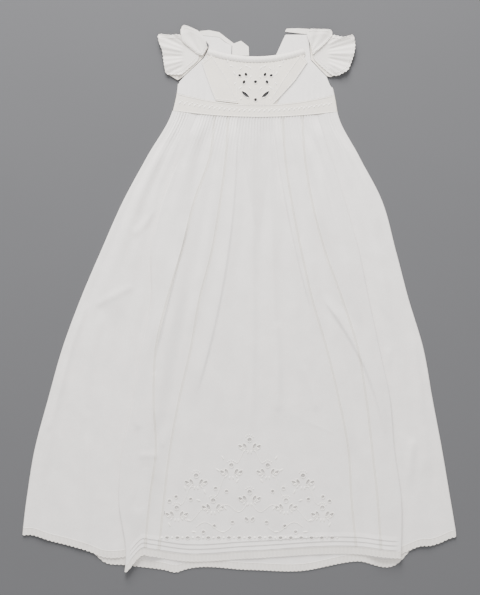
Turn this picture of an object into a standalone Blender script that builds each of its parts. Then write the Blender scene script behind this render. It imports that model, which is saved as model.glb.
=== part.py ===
# Christening gown of white muslin, laid flat on its back with its front up.
# Tables and functions are in millimetres and the meshes in metres.
# +X is to the right of the laid gown, +Y towards the neck, and the cloth rests on Z = 0.

import math

import bmesh
import bpy
import numpy as np
from mathutils import Vector
from mathutils.geometry import delaunay_2d_cdt

MM = 0.001
CLOTH = 1.0                     # wall of every cloth piece
GAP = 0.3                       # between pieces at a seam, and between layers
LAYER = CLOTH + GAP
EDGE_RADIUS = 1.8               # middle of the wall where a side turns down to the floor
FOLD_RADIUS = 1.65              # middle of the wall where the front rolls under
RETURN_DEPTH = 33.0             # cloth turned under at each large fold of the front
EDGING = 12.0                   # depth of the scalloped edging at the hem
SCALLOP = 6.5                   # width of one scallop
SCALLOP_DEPTH = 2.6
INSERTION = 4.0                 # width of the ladder insertions in the skirt
SQUARE_WIDTH = 200.0            # width of a skirt piece in its squared plan
SQUARE_SQUEEZE = 8.0            # its height is divided by this
SQUARE_BULGE = 0.05             # the squared plan's sides bow out by this share of its half width
GATHERS = 60                    # fine gathers across the waist
BROAD_FOLDS = 14                # soft folds that the gathers run into
GATHER_HEIGHT = 1.5
BROAD_HEIGHT = 1.3
WAIST_CENTRE = 32.0             # the waist dips lowest here
WAIST_LOW = 299.6
WAIST_HIGH = 320.4
MOTIF_CENTRE = 17.0             # middle of the cutwork on the skirt
BODICE_CENTRE = 26.8            # middle of the neck and of the bodice insertion
NECK_LOW = 399.8
NECK_BAND = 10.0
BACK_INSET = 2.6                # the back ends inside the turned-down sides by this

# Places across the skirt: a row for each height, a column for each edge, fold and seam
SECTION_COLUMNS = ("y", "left_edge", "left_fold", "left_outer", "left_inner",
                   "right_inner", "right_outer", "right_fold", "right_edge")
SECTIONS = (
    (-450, -368.0, -189.0, -156.0, -136.0, 196.0, 235.0, 267.0, 370.0),
    (-430, -364.0, -187.0, -155.5, -134.0, 194.5, 234.0, 267.0, 366.0),
    (-330, -351.0, -198.5, -147.5, -124.0, 185.0, 227.5, 267.0, 348.5),
    (-250, -338.0, -192.5, -137.5, -114.5, 180.0, 219.0, 256.0, 335.0),
    (-165, -315.5, -174.5, -141.0, -99.0, 164.0, 209.0, 248.5, 319.0),
    (-80, -291.5, -161.0, -137.0, -79.5, 143.5, 194.5, 230.5, 303.5),
    (0, -262.0, -145.0, -118.0, -65.5, 120.0, 169.5, 213.5, 279.5),
    (80, -228.0, -145.0, -94.5, -45.0, 102.0, 141.0, 197.0, 258.5),
    (165, -190.0, -125.0, -73.0, -31.0, 85.5, 119.0, 173.0, 234.5),
    (235, -152.0, -98.0, -48.0, -22.0, 75.5, 108.0, 151.5, 198.0),
    (310, -110.5, -70.0, -39.0, -17.7, 71.4, 103.0, 130.0, 162.0),
    (320, -108.0, -66.0, -37.0, -17.0, 71.0, 102.0, 128.0, 161.0),
)

# Lower edge of each hem: x, y
FRONT_HEM = ((-226, -408), (-196, -442), (-189, -450), (-184, -448), (-175, -437), (-161, -423),
             (-145, -424), (-124, -428), (-96, -432), (16, -428), (194, -421), (262, -427),
             (272, -427), (306, -412))
SIDE_HEM_LEFT = ((-364, -386), (-358, -389), (-345, -389), (-311, -399), (-279, -407),
                 (-246, -417), (-227, -425), (-180, -425), (-150, -424))
SIDE_HEM_RIGHT = ((225, -425), (262, -422), (282, -414), (298, -408), (315, -407), (332, -402),
                  (345, -396), (358, -392), (364, -391))
BACK_HEM = ((-362, -384), (-310, -396), (-246, -414), (-223, -434), (-190, -439), (-124, -447),
            (-103, -451), (-91, -447), (16, -447), (99, -449), (194, -433), (262, -436),
            (285, -412), (358, -389))

# Folds of the front: a crest through three places, its height, its width, and the side that
# stays high where one side drops sharply (-1 left, 1 right, 0 for an even ridge)
FOLD_COLUMNS = ("top_x", "top_y", "mid_x", "mid_y", "low_x", "low_y", "height", "width", "high_side")
FRONT_FOLDS = (
    (-5.4, 292, -16.9, 97, -71.4, -155, 2.4, 9.0, -1),
    (14.4, 292, 21.0, 114, 19.0, -219, 2.0, 7.0, 0),
    (49.0, 270, 52.4, 97, 64.6, -167, 1.8, 7.0, 0),
    (57.3, 290, 82.0, 138, 120.0, -22, 2.6, 6.0, 1),
    (94.0, 110, 146.0, -80, 182.0, -250, 2.2, 10.0, 0),
    (140.0, -2, 194.0, -85, 238.0, -222, 2.6, 9.0, 1),
    (119.0, 266, 152.0, 138, 203.0, -40, 2.0, 9.0, -1),
    (-84.6, 127, -107.0, 41, -140.0, -96, 2.6, 9.0, -1),
    (-32.0, 270, -50.0, 120, -82.0, -60, 1.6, 9.0, 0),
    (-118.0, -210, -146.0, -300, -165.0, -395, 1.8, 12.0, 0),
    (98.0, -195, 124.0, -207, 158.0, -223, 1.2, 7.0, 0),
)
SIDE_FOLDS = (
    (-125.0, 251, -173.0, 139, -214.0, -38, 2.2, 12.0, 0),
    (-256.0, -17, -297.0, -158, -322.0, -300, 1.6, 8.0, 0),
    (-226.0, -20, -246.0, -110, -256.0, -215, 1.6, 9.0, 0),
    (-250.0, -225, -250.0, -300, -252.0, -385, 1.4, 8.0, 0),
    (164.0, 272, 211.0, 180, 229.0, 100, 2.0, 9.0, 0),
    (224.0, 95, 238.0, 21, 256.0, -60, 1.6, 8.0, 0),
    (287.0, -64, 294.0, -135, 314.0, -300, 2.0, 9.0, 0),
    (290.0, -226, 283.0, -280, 277.0, -330, 1.4, 7.0, 0),
)
TUCK_PITCH = 7.5
TUCKS = 3
TUCK_HEIGHT = 1.0

# Cutwork on the skirt, left and right of its middle alike: distance across, height
FANS = ((0, -238), (30, -280), (0, -324), (88, -297), (60, -338), (120, -350))
ROUND_EYELETS = ((38, -317), (56, -312), (97, -330), (121, -326), (132, -333), (28, -368),
                 (58, -374), (76, -384))
FAN_EYE = (6.4, 6.4)            # width and height of a fan's round eyelet
FAN_LEAF = (4.2, 9.0)
FAN_LEAVES = ((8.0, -4.5, 24), (14.5, -6.0, 48))     # across, up, lean in degrees
SMALL_EYE = (4.5, 4.5)
LEAF_PAIR = (5.0, -363)
BORDER_Y = -393.5
BORDER_PITCH = 17.0
BORDER_COUNT = 17
BORDER_EYE = (5.6, 4.2)

# Cutwork in the bodice insertion: across from its middle, height, width, length, lean
BODICE_EYELETS = ((15.7, 370.0, 4.3, 6.0, 15), (26.0, 368.5, 4.3, 5.0, 70), (19.0, 357.5, 4.4, 6.2, -20),
                  (16.5, 337.0, 5.0, 16.0, 48))
BODICE_MIDDLE_EYELETS = ((0, 358.0, 5.0, 5.0, 0), (0, 328.5, 5.0, 5.0, 0))


def smooth(at, xs, ys):
    """Cubic curve through the points of a table, level past its ends."""
    xs = np.asarray(xs, float)
    ys = np.asarray(ys, float)
    slope = np.gradient(ys, xs)
    at = np.clip(np.asarray(at, float), xs[0], xs[-1])
    i = np.clip(np.searchsorted(xs, at) - 1, 0, len(xs) - 2)
    step = xs[i + 1] - xs[i]
    t = (at - xs[i]) / step
    start = (2 * t**3 - 3 * t**2 + 1) * ys[i] + (t**3 - 2 * t**2 + t) * step * slope[i]
    end = (3 * t**2 - 2 * t**3) * ys[i + 1] + (t**3 - t**2) * step * slope[i + 1]
    return start + end


def ease(t):
    """Rises softly from 0 to 1."""
    t = np.clip(t, 0.0, 1.0)
    return t * t * (3 - 2 * t)


def seam(column, y):
    """Where an edge, fold or seam of the skirt lies at a height."""
    table = np.array(SECTIONS, float)
    return smooth(y, table[:, 0], table[:, SECTION_COLUMNS.index(column)])


def hem(table, x):
    points = np.array(table, float)
    return smooth(x, points[:, 0], points[:, 1])


def waist_low(x):
    return WAIST_LOW + 5.4e-4 * (x - WAIST_CENTRE) ** 2


def waist_high(x):
    return WAIST_HIGH + 1.06e-3 * (x - WAIST_CENTRE) ** 2


def neck_line(x):
    return NECK_LOW + 2.1e-3 * (x - BODICE_CENTRE) ** 2


def crest(fold, y):
    """Where a fold's crest lies at a height: a parabola through its three places."""
    x0, y0, x1, y1, x2, y2 = fold[:6]
    a = (y - y1) * (y - y2) / ((y0 - y1) * (y0 - y2))
    b = (y - y0) * (y - y2) / ((y1 - y0) * (y1 - y2))
    c = (y - y0) * (y - y1) / ((y2 - y0) * (y2 - y1))
    return a * x0 + b * x1 + c * x2


def fold_relief(folds, x, y):
    """Height that the folds of a table add: ridges, or pleat edges that drop on one side."""
    total = np.zeros(np.broadcast(x, y).shape)
    for fold in folds:
        top, low, height, width, side = fold[1], fold[5], fold[6], fold[7], fold[8]
        d = (x - crest(fold, np.clip(y, low, top))) / width
        if side:
            d = np.where(d * side > 0, d * 0.55, d * 3.2)
        fade = ease((top + 12 - y) / 40) * ease((y - low + 12) / 60)
        total = np.maximum(total, height * np.exp(-d * d) * fade)
    return total


def gather_relief(x, y):
    """Fine gathers under the waistband that run into broad soft folds."""
    left = seam("left_edge", y)
    across = (x - left) / (seam("right_edge", y) - left)
    below = np.maximum(waist_low(x) - y, 0)
    fine = GATHER_HEIGHT * np.exp(-below / 32) * (1 + np.cos(2 * math.pi * GATHERS * across)) / 2
    drift = 1.1 * np.sin(9.0 * across + 0.4) + 0.7 * np.sin(17 * across)
    broad = (1 + np.cos(2 * math.pi * BROAD_FOLDS * across + drift)) / 2
    fade = ease(below / 50) * (1 - 0.75 * ease((below - 230) / 300))
    return fine + BROAD_HEIGHT * broad * fade


def underlap(y):
    """How far the side lies under the front at each large fold."""
    below = WAIST_LOW - y
    return RETURN_DEPTH * ease((below - 40) / 120)


def fold_inset(column, x, y):
    """Distance into the front from one of its two large folds."""
    inset = x - seam("left_fold", y) if column == "left_fold" else seam("right_fold", y) - x
    return inset - FOLD_RADIUS - CLOTH / 2


def tuck_relief(x, y):
    """Three narrow tucks above the front edging, each with its edge to the hem."""
    above = y - hem(FRONT_HEM, x) - EDGING - 1.5
    part = above / TUCK_PITCH
    inside = (part >= 0) & (part < TUCKS)
    return np.where(inside, TUCK_HEIGHT * (1 - part % 1.0), 0.0)


def front_height(x, y):
    """Underside of the skirt's front: on the back, over the sides' inner edges, with its folds."""
    below = waist_low(x) - y
    shelf = np.zeros(np.broadcast(x, y).shape)
    calm = np.ones(shelf.shape)
    for column in ("left_fold", "right_fold"):
        inset = fold_inset(column, x, y)
        shelf = np.maximum(shelf, 1 - ease((inset - underlap(y) - 3) / 26))
        calm = calm * ease(inset / 12)
    lift = ease(below / 40) * (2 * LAYER + 2 * FOLD_RADIUS - LAYER)
    relief = fold_relief(FRONT_FOLDS, x, y) + gather_relief(x, y)
    above_hem = y - hem(FRONT_HEM, x) - EDGING
    relief = relief * (0.25 + 0.75 * ease(above_hem / 70))
    return LAYER + shelf * lift + (relief + tuck_relief(x, y)) * calm


def side_height(x, y):
    """Underside of a skirt side: on the back, flat under the front and at its outer edge."""
    outer = np.minimum(x - seam("left_edge", y), seam("right_edge", y) - x) - EDGE_RADIUS - CLOTH / 2
    clear = np.maximum(seam("left_fold", y) - x, x - seam("right_fold", y)) - 5
    calm = ease(outer / 14) * ease(clear / 16)
    return LAYER + (fold_relief(SIDE_FOLDS, x, y) + gather_relief(x, y)) * calm


def flat_height(x, y):
    return np.zeros(np.broadcast(x, y).shape)


def bodice_height(x, y):
    """Underside of the front bodice, with a few soft gathers at its sides above the waist."""
    off = np.abs(x - BODICE_CENTRE)
    rise = y - waist_high(x)
    beside = ease((off - 69 - 0.37 * rise) / 12) * ease((126 - off) / 14)
    return LAYER + 0.9 * beside * np.exp(-rise / 22) * (1 + np.cos(x * 0.62)) / 2


def band_height(x, y):
    """The waistband, raised a little by the gathers behind it."""
    middle = ease((x + 98) / 30) * ease((154 - x) / 30)
    return LAYER + 1.2 * middle


def robing_height(x, y):
    return flat_height(x, y) + 2 * LAYER


def neck_band_height(x, y):
    """A drawn casing, rounded between its two edges."""
    t = (neck_line(x) - y) / NECK_BAND
    return LAYER + 1.2 * np.sin(math.pi * np.clip(t, 0, 1))


def left_front_roll(y):
    return seam("left_fold", y) + FOLD_RADIUS + CLOTH / 2


def right_front_roll(y):
    return seam("right_fold", y) - FOLD_RADIUS - CLOTH / 2


def left_side_roll(y):
    return seam("left_edge", y) + EDGE_RADIUS + CLOTH / 2


def right_side_roll(y):
    return seam("right_edge", y) - EDGE_RADIUS - CLOTH / 2


def bodice_edge(side, y):
    """Outer edge of the bodice and of the waistband."""
    places = (-112.0, -103.0, -101.0) if side < 0 else (163.5, 156.5, 152.0)
    return smooth(y, (300, 340, 358), places)


def left_bodice_roll(y):
    return bodice_edge(-1, y) + EDGE_RADIUS + CLOTH / 2


def right_bodice_roll(y):
    return bodice_edge(1, y) - EDGE_RADIUS - CLOTH / 2


def laid(height, left=None, right=None, radius=EDGE_RADIUS):
    """Lays a flat pattern at a height, and carries what lies past a roll line round an edge and under.

    The pattern's layer is 0 on its under face and 1 on its outer face.
    """
    def place(x, y, layer):
        out = (layer - 0.5) * CLOTH
        held = x
        if left is not None:
            held = np.maximum(held, left(y))
        if right is not None:
            held = np.minimum(held, right(y))
        past = np.abs(x - held)
        side = np.sign(x - held)
        angle = np.clip(past / radius, 0, math.pi)
        back = np.maximum(past - math.pi * radius, 0)
        moved = held + side * (radius * np.sin(angle) - back + out * np.sin(angle))
        base = height(held, y) + CLOTH / 2
        z = np.maximum(base - radius * (1 - np.cos(angle)) + out * np.cos(angle), 0.0)
        return moved, y, z
    return place


def inside(points, loop):
    """Which points lie inside a closed outline."""
    x, y = points[:, 0], points[:, 1]
    found = np.zeros(len(points), bool)
    for (x0, y0), (x1, y1) in zip(loop, np.roll(loop, -1, axis=0)):
        if y0 != y1:
            crosses = ((y0 > y) != (y1 > y)) & (x < (x1 - x0) * (y - y0) / (y1 - y0) + x0)
            found ^= crosses
    return found


def unwarped(x, y):
    return x, y


def triangles(plan, edges, loops, warp):
    """Triangles of a pattern between its outline and its holes, found in a warped plan."""
    square = np.stack(warp(plan[:, 0], plan[:, 1]), axis=1)
    found, _, faces, sources, *_ = delaunay_2d_cdt([Vector(p) for p in square], edges, [], 0, 1e-5)
    found = np.array([tuple(p) for p in found])
    corners = plan[[source[0] for source in sources]]
    faces = np.array([f for f in faces if len(f) == 3])
    middles = found[faces].mean(axis=1)
    keep = np.ones(len(faces), bool)
    for number, loop in enumerate(loops):
        within = inside(middles, np.stack(warp(loop[:, 0], loop[:, 1]), axis=1))
        keep &= ~within if number else within
    return corners, faces[keep]


def cut_and_lay(name, outline, place, finish, inner=(), holes=(), warp=unwarped):
    """Cuts a flat pattern with its holes, gives it a wall, and lays it in its place.

    The triangles are found in a warped plan where the rows and folds run square, so that
    their edges follow the folds.
    """
    loops = [np.array(loop, float) for loop in (outline, *holes)]
    points = [p for loop in loops for p in loop]
    edges = []
    for loop in loops:
        first = len(edges)
        edges += [(first + i, first + (i + 1) % len(loop)) for i in range(len(loop))]
    inner = np.array(inner, float).reshape(-1, 2)
    if len(inner) and len(holes):
        middles = np.array([loop.mean(axis=0) for loop in loops[1:]])
        reach = np.array([np.abs(loop - loop.mean(axis=0)).max() for loop in loops[1:]]) + 1.5
        apart = np.linalg.norm(inner[:, None] - middles[None], axis=2) > reach[None]
        inner = inner[apart.all(axis=1)]
    plan = np.array([*points, *inner], float)
    corners, faces = triangles(plan, edges, loops, warp)

    mesh = bpy.data.meshes.new(name)
    shape = bmesh.new()
    used = np.unique(faces)
    corner = {i: shape.verts.new((corners[i][0], corners[i][1], 0)) for i in used}
    for face in faces:
        shape.faces.new([corner[i] for i in face])
    grown = bmesh.ops.extrude_face_region(shape, geom=shape.faces[:], use_keep_orig=True)
    raised = [v for v in grown["geom"] if isinstance(v, bmesh.types.BMVert)]
    bmesh.ops.translate(shape, verts=raised, vec=(0, 0, 1))
    bmesh.ops.recalc_face_normals(shape, faces=shape.faces[:])
    shape.to_mesh(mesh)
    shape.free()

    pattern = np.empty(len(mesh.vertices) * 3)
    mesh.vertices.foreach_get("co", pattern)
    pattern = pattern.reshape(-1, 3)
    laid_out = np.stack(place(pattern[:, 0], pattern[:, 1], pattern[:, 2]), axis=1)
    mesh.vertices.foreach_set("co", (laid_out * MM).ravel())
    mesh.update()
    mesh.shade_smooth()
    mesh.set_sharp_from_angle(angle=math.radians(50))
    part = bpy.data.objects.new(name, mesh)
    part.data.materials.append(finish)
    gown.objects.link(part)
    return part


def ellipse(x, y, width, length, lean=0.0, count=6):
    """Outline of an eyelet, its length along its lean from upright in degrees."""
    turn = math.radians(lean)
    loop = []
    for i in range(count):
        angle = 2 * math.pi * i / count
        a = width / 2 * math.sin(angle)
        b = length / 2 * math.cos(angle)
        loop.append((x + a * math.cos(turn) + b * math.sin(turn), y - a * math.sin(turn) + b * math.cos(turn)))
    return loop


def skirt_cutwork():
    """Eyelets of the fans, the small round ones and the border row."""
    holes = []
    for across, y in FANS:
        for side in ((-1, 1) if across else (1,)):
            x = MOTIF_CENTRE + side * across
            holes.append(ellipse(x, y + 6, *FAN_EYE))
            for out, up, lean in FAN_LEAVES:
                for half in (-1, 1):
                    holes.append(ellipse(x + half * out, y + up, *FAN_LEAF, half * lean, 4))
    for across, y in ROUND_EYELETS:
        for side in (-1, 1):
            holes.append(ellipse(MOTIF_CENTRE + side * across, y, *SMALL_EYE, 0, 5))
    for side in (-1, 1):
        holes.append(ellipse(MOTIF_CENTRE + side * LEAF_PAIR[0], LEAF_PAIR[1], 4.2, 7.0, side * 35, 4))
    for i in range(BORDER_COUNT):
        x = MOTIF_CENTRE + (i - (BORDER_COUNT - 1) / 2) * BORDER_PITCH
        holes.append(ellipse(x, BORDER_Y, *BORDER_EYE, 0, 4))
    return holes


def fold_marks(folds, y):
    """Crests and feet of the folds that a row crosses."""
    marks = []
    for fold in folds:
        if fold[5] - 10 < y < fold[1] + 10:
            x, width, side = crest(fold, y), fold[7], fold[8]
            marks += [x, x - side * width * 0.45, x + side * width * 1.8] if side else [x - width, x, x + width]
    return marks


def row_places(y, low, high, below, folds):
    """Points across one row of the skirt, close at the gathers and on the folds."""
    left, right = float(seam("left_edge", y)), float(seam("right_edge", y))
    count = 2 * GATHERS if below < 16 else GATHERS if below < 45 else 36 if below < 330 else 24
    step = (right - left) / count
    grid = [left + step * i for i in range(count + 1)]
    marks = fold_marks(folds, y) if below > 16 else []
    kept = [x for x in marks if low + 2 < x < high - 2]
    spare = max(step * 0.4, 0.8)
    for x in grid:
        near = min([abs(x - mark) for mark in kept], default=step)
        if low + spare < x < high - spare and near > min(step * 0.4, 4):
            kept.append(x)
    return sorted(kept)


def row_y(x, v, hem_table, rows_above):
    """Height of a row of the skirt: v runs from 0 at the waist to 1 at the top of the edging."""
    top = waist_low(x) - GAP
    bottom = hem(hem_table, x) + EDGING + GAP + rows_above
    return top + (bottom - top) * v


def bowed(along):
    """Factor that bows a straight side outwards, so that no three of its points are in line."""
    return 1 + SQUARE_BULGE * (1 - (along / 400) ** 2)


def meeting(line, row, start, offset=0.0):
    """Where a row crosses a line that runs down the skirt, moved across by an offset."""
    x = start
    for _ in range(8):
        x = float(line(row(x))) + offset
    return x


def squared(low_edge, high_edge, rolls):
    """Warp of a skirt side in which its edges and roll lines run straight down."""
    def warp(x, y):
        low, high = low_edge(y), high_edge(y)
        for roll, side in rolls:
            low, high = (roll(y), high) if side > 0 else (low, roll(y))
        t = np.clip((x - low) / (high - low), 0, 1) * SQUARE_WIDTH
        t = t + np.minimum(x - low, 0) + np.maximum(x - high, 0) - SQUARE_WIDTH / 2
        return t * bowed(y + 55), y / SQUARE_SQUEEZE
    return warp


def skirt_strip(name, low_edge, high_edge, hem_table, folds, place, finish, holes=(), rolls=(), tucked=False):
    """One width of the skirt between two edges, each a function of y, cut with rows that fan to the hem.

    Returns the points of its lower edge.
    """
    rows = [(v, 0.0) for v in SKIRT_ROWS]
    if tucked:
        marks = [TUCK_PITCH * i + part for i in reversed(range(TUCKS)) for part in (TUCK_PITCH, 1.8, 1.5)]
        rows = [(v, TUCK_PITCH * TUCKS + 2.5) for v in SKIRT_ROWS] + [(1.0, mark) for mark in marks[1:]] + [(1.0, 0.0)]
    lows, highs, inner, tops, bottoms = [], [], [], [], []
    for number, (v, above) in enumerate(rows):
        def row(x, v=v, above=above):
            return float(row_y(x, v, hem_table, above))
        ends = []
        for edge in (low_edge, high_edge):
            x = meeting(edge, row, float(edge(0.0)))
            ends.append((x, row(x)))
        (x_low, y_low), (x_high, y_high) = ends
        lows.append(ends[0])
        highs.append(ends[1])
        y_mid = (y_low + y_high) / 2
        below = float(waist_low(0) - y_mid)
        kept = []
        for x in row_places(y_mid, x_low, x_high, below, folds):
            if all((x - roll(row(x))) * side > 1.5 for roll, side in rolls):
                kept.append(x)
        for roll, side in rolls:
            turn = FOLD_RADIUS * math.pi / 4 if tucked else EDGE_RADIUS * math.pi / 6
            kept += [meeting(roll, row, float(roll(y_mid)), -side * turn * part) for part in range(5)]
        kept = sorted(x for x in kept if x_low + 0.7 < x < x_high - 0.7)
        line = [(x, row(x)) for x in kept]
        if number == 0:
            tops = line
        elif number == len(rows) - 1:
            bottoms = line
        else:
            inner += line
    outline = [lows[0], *tops, highs[0], *highs[1:-1], highs[-1], *reversed(bottoms), lows[-1], *reversed(lows[1:-1])]
    warp = squared(low_edge, high_edge, rolls) if rolls and not tucked else unwarped
    cut_and_lay(name, outline, place, finish, inner, holes, warp)
    return [lows[-1], *bottoms, highs[-1]]


SKIRT_ROWS = (0, 0.012, 0.03, 0.055, 0.09, 0.13, 0.18, 0.235, 0.295, 0.36, 0.425, 0.49, 0.555,
              0.62, 0.685, 0.75, 0.81, 0.87, 0.93, 0.97, 1.0)


def scalloped(name, upper, table, place, finish, roll=None, side=0):
    """Edging below a hem line: its upper edge follows the cloth above it, its lower edge is scalloped.

    Where it turns down at a side, it has points on the roll line, inwards of which lies side.
    """
    top = [(x, y - GAP) for x, y in upper]
    low, high = top[0][0], top[-1][0]
    count = max(int(round((high - low) / SCALLOP)), 1)
    pitch = (high - low) / count

    def edge(x):
        part = (x - low) / pitch % 1.0
        return float(hem(table, x)) + SCALLOP_DEPTH * abs(1 - 2 * part)
    places = [low + pitch * i / 2 for i in range(2 * count + 1)]
    if roll:
        step = EDGE_RADIUS * math.pi / 6
        turned = [meeting(roll, edge, low if side > 0 else high, -side * step * part) for part in range(4)]
        places = [x for x in places if (x - turned[0]) * side > 1.2]
        places = sorted(places + turned)
    bottom = [(x, edge(x)) for x in places]

    def straightened(x, y):
        return x, (y - hem(table, x)) * bowed(x)
    cut_and_lay(name, [*reversed(top), *bottom], place, finish, warp=straightened)


def offset_seam(column, offset):
    return lambda y: seam(column, y) + offset


def left_return(y):
    """End of the front's left width in its flat pattern: past the roll by the cloth turned under."""
    below = WAIST_LOW - y
    turned = (math.pi * FOLD_RADIUS + underlap(y)) * ease((below - 60) / 110)
    return left_front_roll(y) - turned


def right_return(y):
    below = WAIST_LOW - y
    turned = (math.pi * FOLD_RADIUS + underlap(y)) * ease((below - 60) / 110)
    return right_front_roll(y) + turned


def left_side_end(y):
    """Inner end of the left side: beside the fold at the waist, under it lower down."""
    return left_front_roll(y) - GAP + (underlap(y) + GAP) * ease((WAIST_LOW - y - 40) / 10)


def right_side_end(y):
    return right_front_roll(y) + GAP - (underlap(y) + GAP) * ease((WAIST_LOW - y - 40) / 10)


def make_skirt():
    place_front = laid(front_height, left_front_roll, right_front_roll, FOLD_RADIUS)
    place_left = laid(side_height, left=left_side_roll)
    place_right = laid(side_height, right=right_side_roll)
    half = INSERTION / 2
    turn_down = EDGE_RADIUS * math.pi / 2
    edges = {
        "left_end": left_return,
        "left_outer_low": offset_seam("left_outer", -half - GAP),
        "left_outer_high": offset_seam("left_outer", half + GAP),
        "left_inner_low": offset_seam("left_inner", -half - GAP),
        "left_inner_high": offset_seam("left_inner", half + GAP),
        "right_inner_low": offset_seam("right_inner", -half - GAP),
        "right_inner_high": offset_seam("right_inner", half + GAP),
        "right_outer_low": offset_seam("right_outer", -half - GAP),
        "right_outer_high": offset_seam("right_outer", half + GAP),
        "right_end": right_return,
    }
    left_roll = ((left_front_roll, 1),)
    right_roll = ((right_front_roll, -1),)
    widths = (
        ("skirt_gore_outer_left", "left_end", "left_outer_low", (), left_roll),
        ("skirt_gore_inner_left", "left_outer_high", "left_inner_low", (), ()),
        ("skirt_front", "left_inner_high", "right_inner_low", skirt_cutwork(), ()),
        ("skirt_gore_inner_right", "right_inner_high", "right_outer_low", (), ()),
        ("skirt_gore_outer_right", "right_outer_high", "right_end", (), right_roll),
    )
    hems = []
    for name, low, high, holes, rolls in widths:
        hems += skirt_strip(name, edges[low], edges[high], FRONT_HEM, FRONT_FOLDS, place_front, muslin,
                            holes, rolls, True)
    for side in ("left", "right"):
        for place_name in ("inner", "outer"):
            column = f"{side}_{place_name}"
            hems += skirt_strip(f"skirt_insertion_{place_name}_{side}", offset_seam(column, -half),
                                offset_seam(column, half), FRONT_HEM, (), place_front, lace, (), (), True)
    scalloped("hem_edging_front", sorted(hems), FRONT_HEM, place_front, lace)
    foot = skirt_strip("skirt_side_left", lambda y: left_side_roll(y) - turn_down, left_side_end,
                       SIDE_HEM_LEFT, SIDE_FOLDS, place_left, muslin, (), ((left_side_roll, 1),))
    scalloped("hem_edging_side_left", foot, SIDE_HEM_LEFT, place_left, lace, left_side_roll, 1)
    foot = skirt_strip("skirt_side_right", right_side_end, lambda y: right_side_roll(y) + turn_down,
                       SIDE_HEM_RIGHT, SIDE_FOLDS, place_right, muslin, (), ((right_side_roll, -1),))
    scalloped("hem_edging_side_right", foot, SIDE_HEM_RIGHT, place_right, lace, right_side_roll, -1)


def placket_edge(side, y):
    """Edge of the opening down the middle of the back, which closes to a point below the waist."""
    lows, highs = (-6.0, 30.0), (59.0, 34.0)
    top, foot = 300.0, 92.0
    t = np.clip((top - y) / (top - foot), 0, 1)
    start, end = lows if side < 0 else highs
    return start + (end - start) * t


def make_back():
    place = laid(flat_height)
    ys = [290, 262, 235, 200, 165, 120, 80, 40, 0, -40, -80, -120, -165, -205, -250, -290, -330, -360]
    left = [(float(seam("left_edge", y)) + BACK_INSET, y) for y in ys]
    right = [(float(seam("right_edge", y)) - BACK_INSET, y) for y in ys]

    def foot_row(x):
        return float(hem(BACK_HEM, x)) + EDGING + GAP
    x_low = meeting(offset_seam("left_edge", BACK_INSET), foot_row, left[-1][0])
    x_high = meeting(offset_seam("right_edge", -BACK_INSET), foot_row, right[-1][0])
    bottom = [(float(x), foot_row(x)) for x in np.linspace(x_low, x_high, 70)]

    def top(x):
        return (float(x), float(waist_low(x)) - GAP)
    top_left = [top(x) for x in np.linspace(-107.5, float(placket_edge(-1, 300)), 8)]
    top_right = [top(x) for x in np.linspace(float(placket_edge(1, 300)), 159.5, 8)]
    foot = [(float(placket_edge(-1, 92)), 92.0), (float(placket_edge(1, 92)), 92.0)]
    outline = [*top_left, *foot, *top_right, *right, *reversed(bottom), *reversed(left)]
    cut_and_lay("skirt_back", outline, place, muslin)
    scalloped("hem_edging_back", bottom, BACK_HEM, place, lace)


def make_waist():
    for side, name in ((-1, "left"), (1, "right")):
        edge = [float(bodice_edge(side, y)) - side * BACK_INSET for y in (310, 340)]
        slit = [float(placket_edge(side, y)) for y in (300, 320)]
        lows = np.linspace(edge[0], slit[0], 9)
        highs = np.linspace(slit[1], edge[1], 9)
        outline = [*((x, float(waist_low(x))) for x in lows), *((x, float(waist_high(x)) - GAP) for x in highs)]
        cut_and_lay(f"waistband_back_{name}", outline, laid(flat_height), insertion)
    turn_down = EDGE_RADIUS * math.pi / 2
    rows = []
    for v in (0.0, 0.5, 1.0):
        def row(x, v=v):
            return float(waist_low(x) * (1 - v) + (waist_high(x) - GAP) * v)
        lows = [meeting(left_bodice_roll, row, -110.0, -turn_down * part) for part in (1, 0.5, 0)]
        highs = [meeting(right_bodice_roll, row, 160.0, turn_down * part) for part in (0, 0.5, 1)]
        middles = np.linspace(lows[-1], highs[0], 22)[1:-1]
        rows.append([(float(x), row(x)) for x in (*lows, *middles, *highs)])
    outline = [*rows[0], rows[1][-1], *reversed(rows[2]), rows[1][0]]
    place = laid(band_height, left_bodice_roll, right_bodice_roll)
    cut_and_lay("waistband_front", outline, place, insertion, rows[1][1:-1])


def between(points, count):
    """Points along a polyline, evenly in each stretch."""
    line = []
    for (x0, y0), (x1, y1) in zip(points, points[1:]):
        line += [(x0 + (x1 - x0) * i / count, y0 + (y1 - y0) * i / count) for i in range(count)]
    return [*line, points[-1]]


# Seams of the front bodice on the left and on the right: across, height
BODICE_SEAMS = {
    "left": {
        "armhole": ((-98.5, 358.5), (-90.5, 367), (-73, 383.5), (-59, 397)),
        "shoulder": (-54.5, 402.5),
        "yoke_outer": ((-54.5, 402.5), (-36, 360), (-20.5, 324.5)),
        "yoke_inner": ((-3.5, 389.5), (-4, 360), (-3, 322.5)),
        "robing": ((-61.5, 389.5), (-47.5, 349), (-38.5, 327.5), (-1.5, 323), (-24.5, 369.5), (-46, 402)),
    },
    "right": {
        "armhole": ((149.5, 352.5), (143.5, 367), (131.5, 379), (117.5, 394)),
        "shoulder": (110, 402.5),
        "yoke_outer": ((110, 402.5), (86, 366), (61.5, 324)),
        "yoke_inner": ((57.5, 389.5), (58, 360), (56.6, 322.5)),
        "robing": ((112.5, 391), (91.5, 360), (71, 337.5), (57.5, 323.5), (55.5, 334), (79, 371), (101.5, 402.5)),
    },
}


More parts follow.
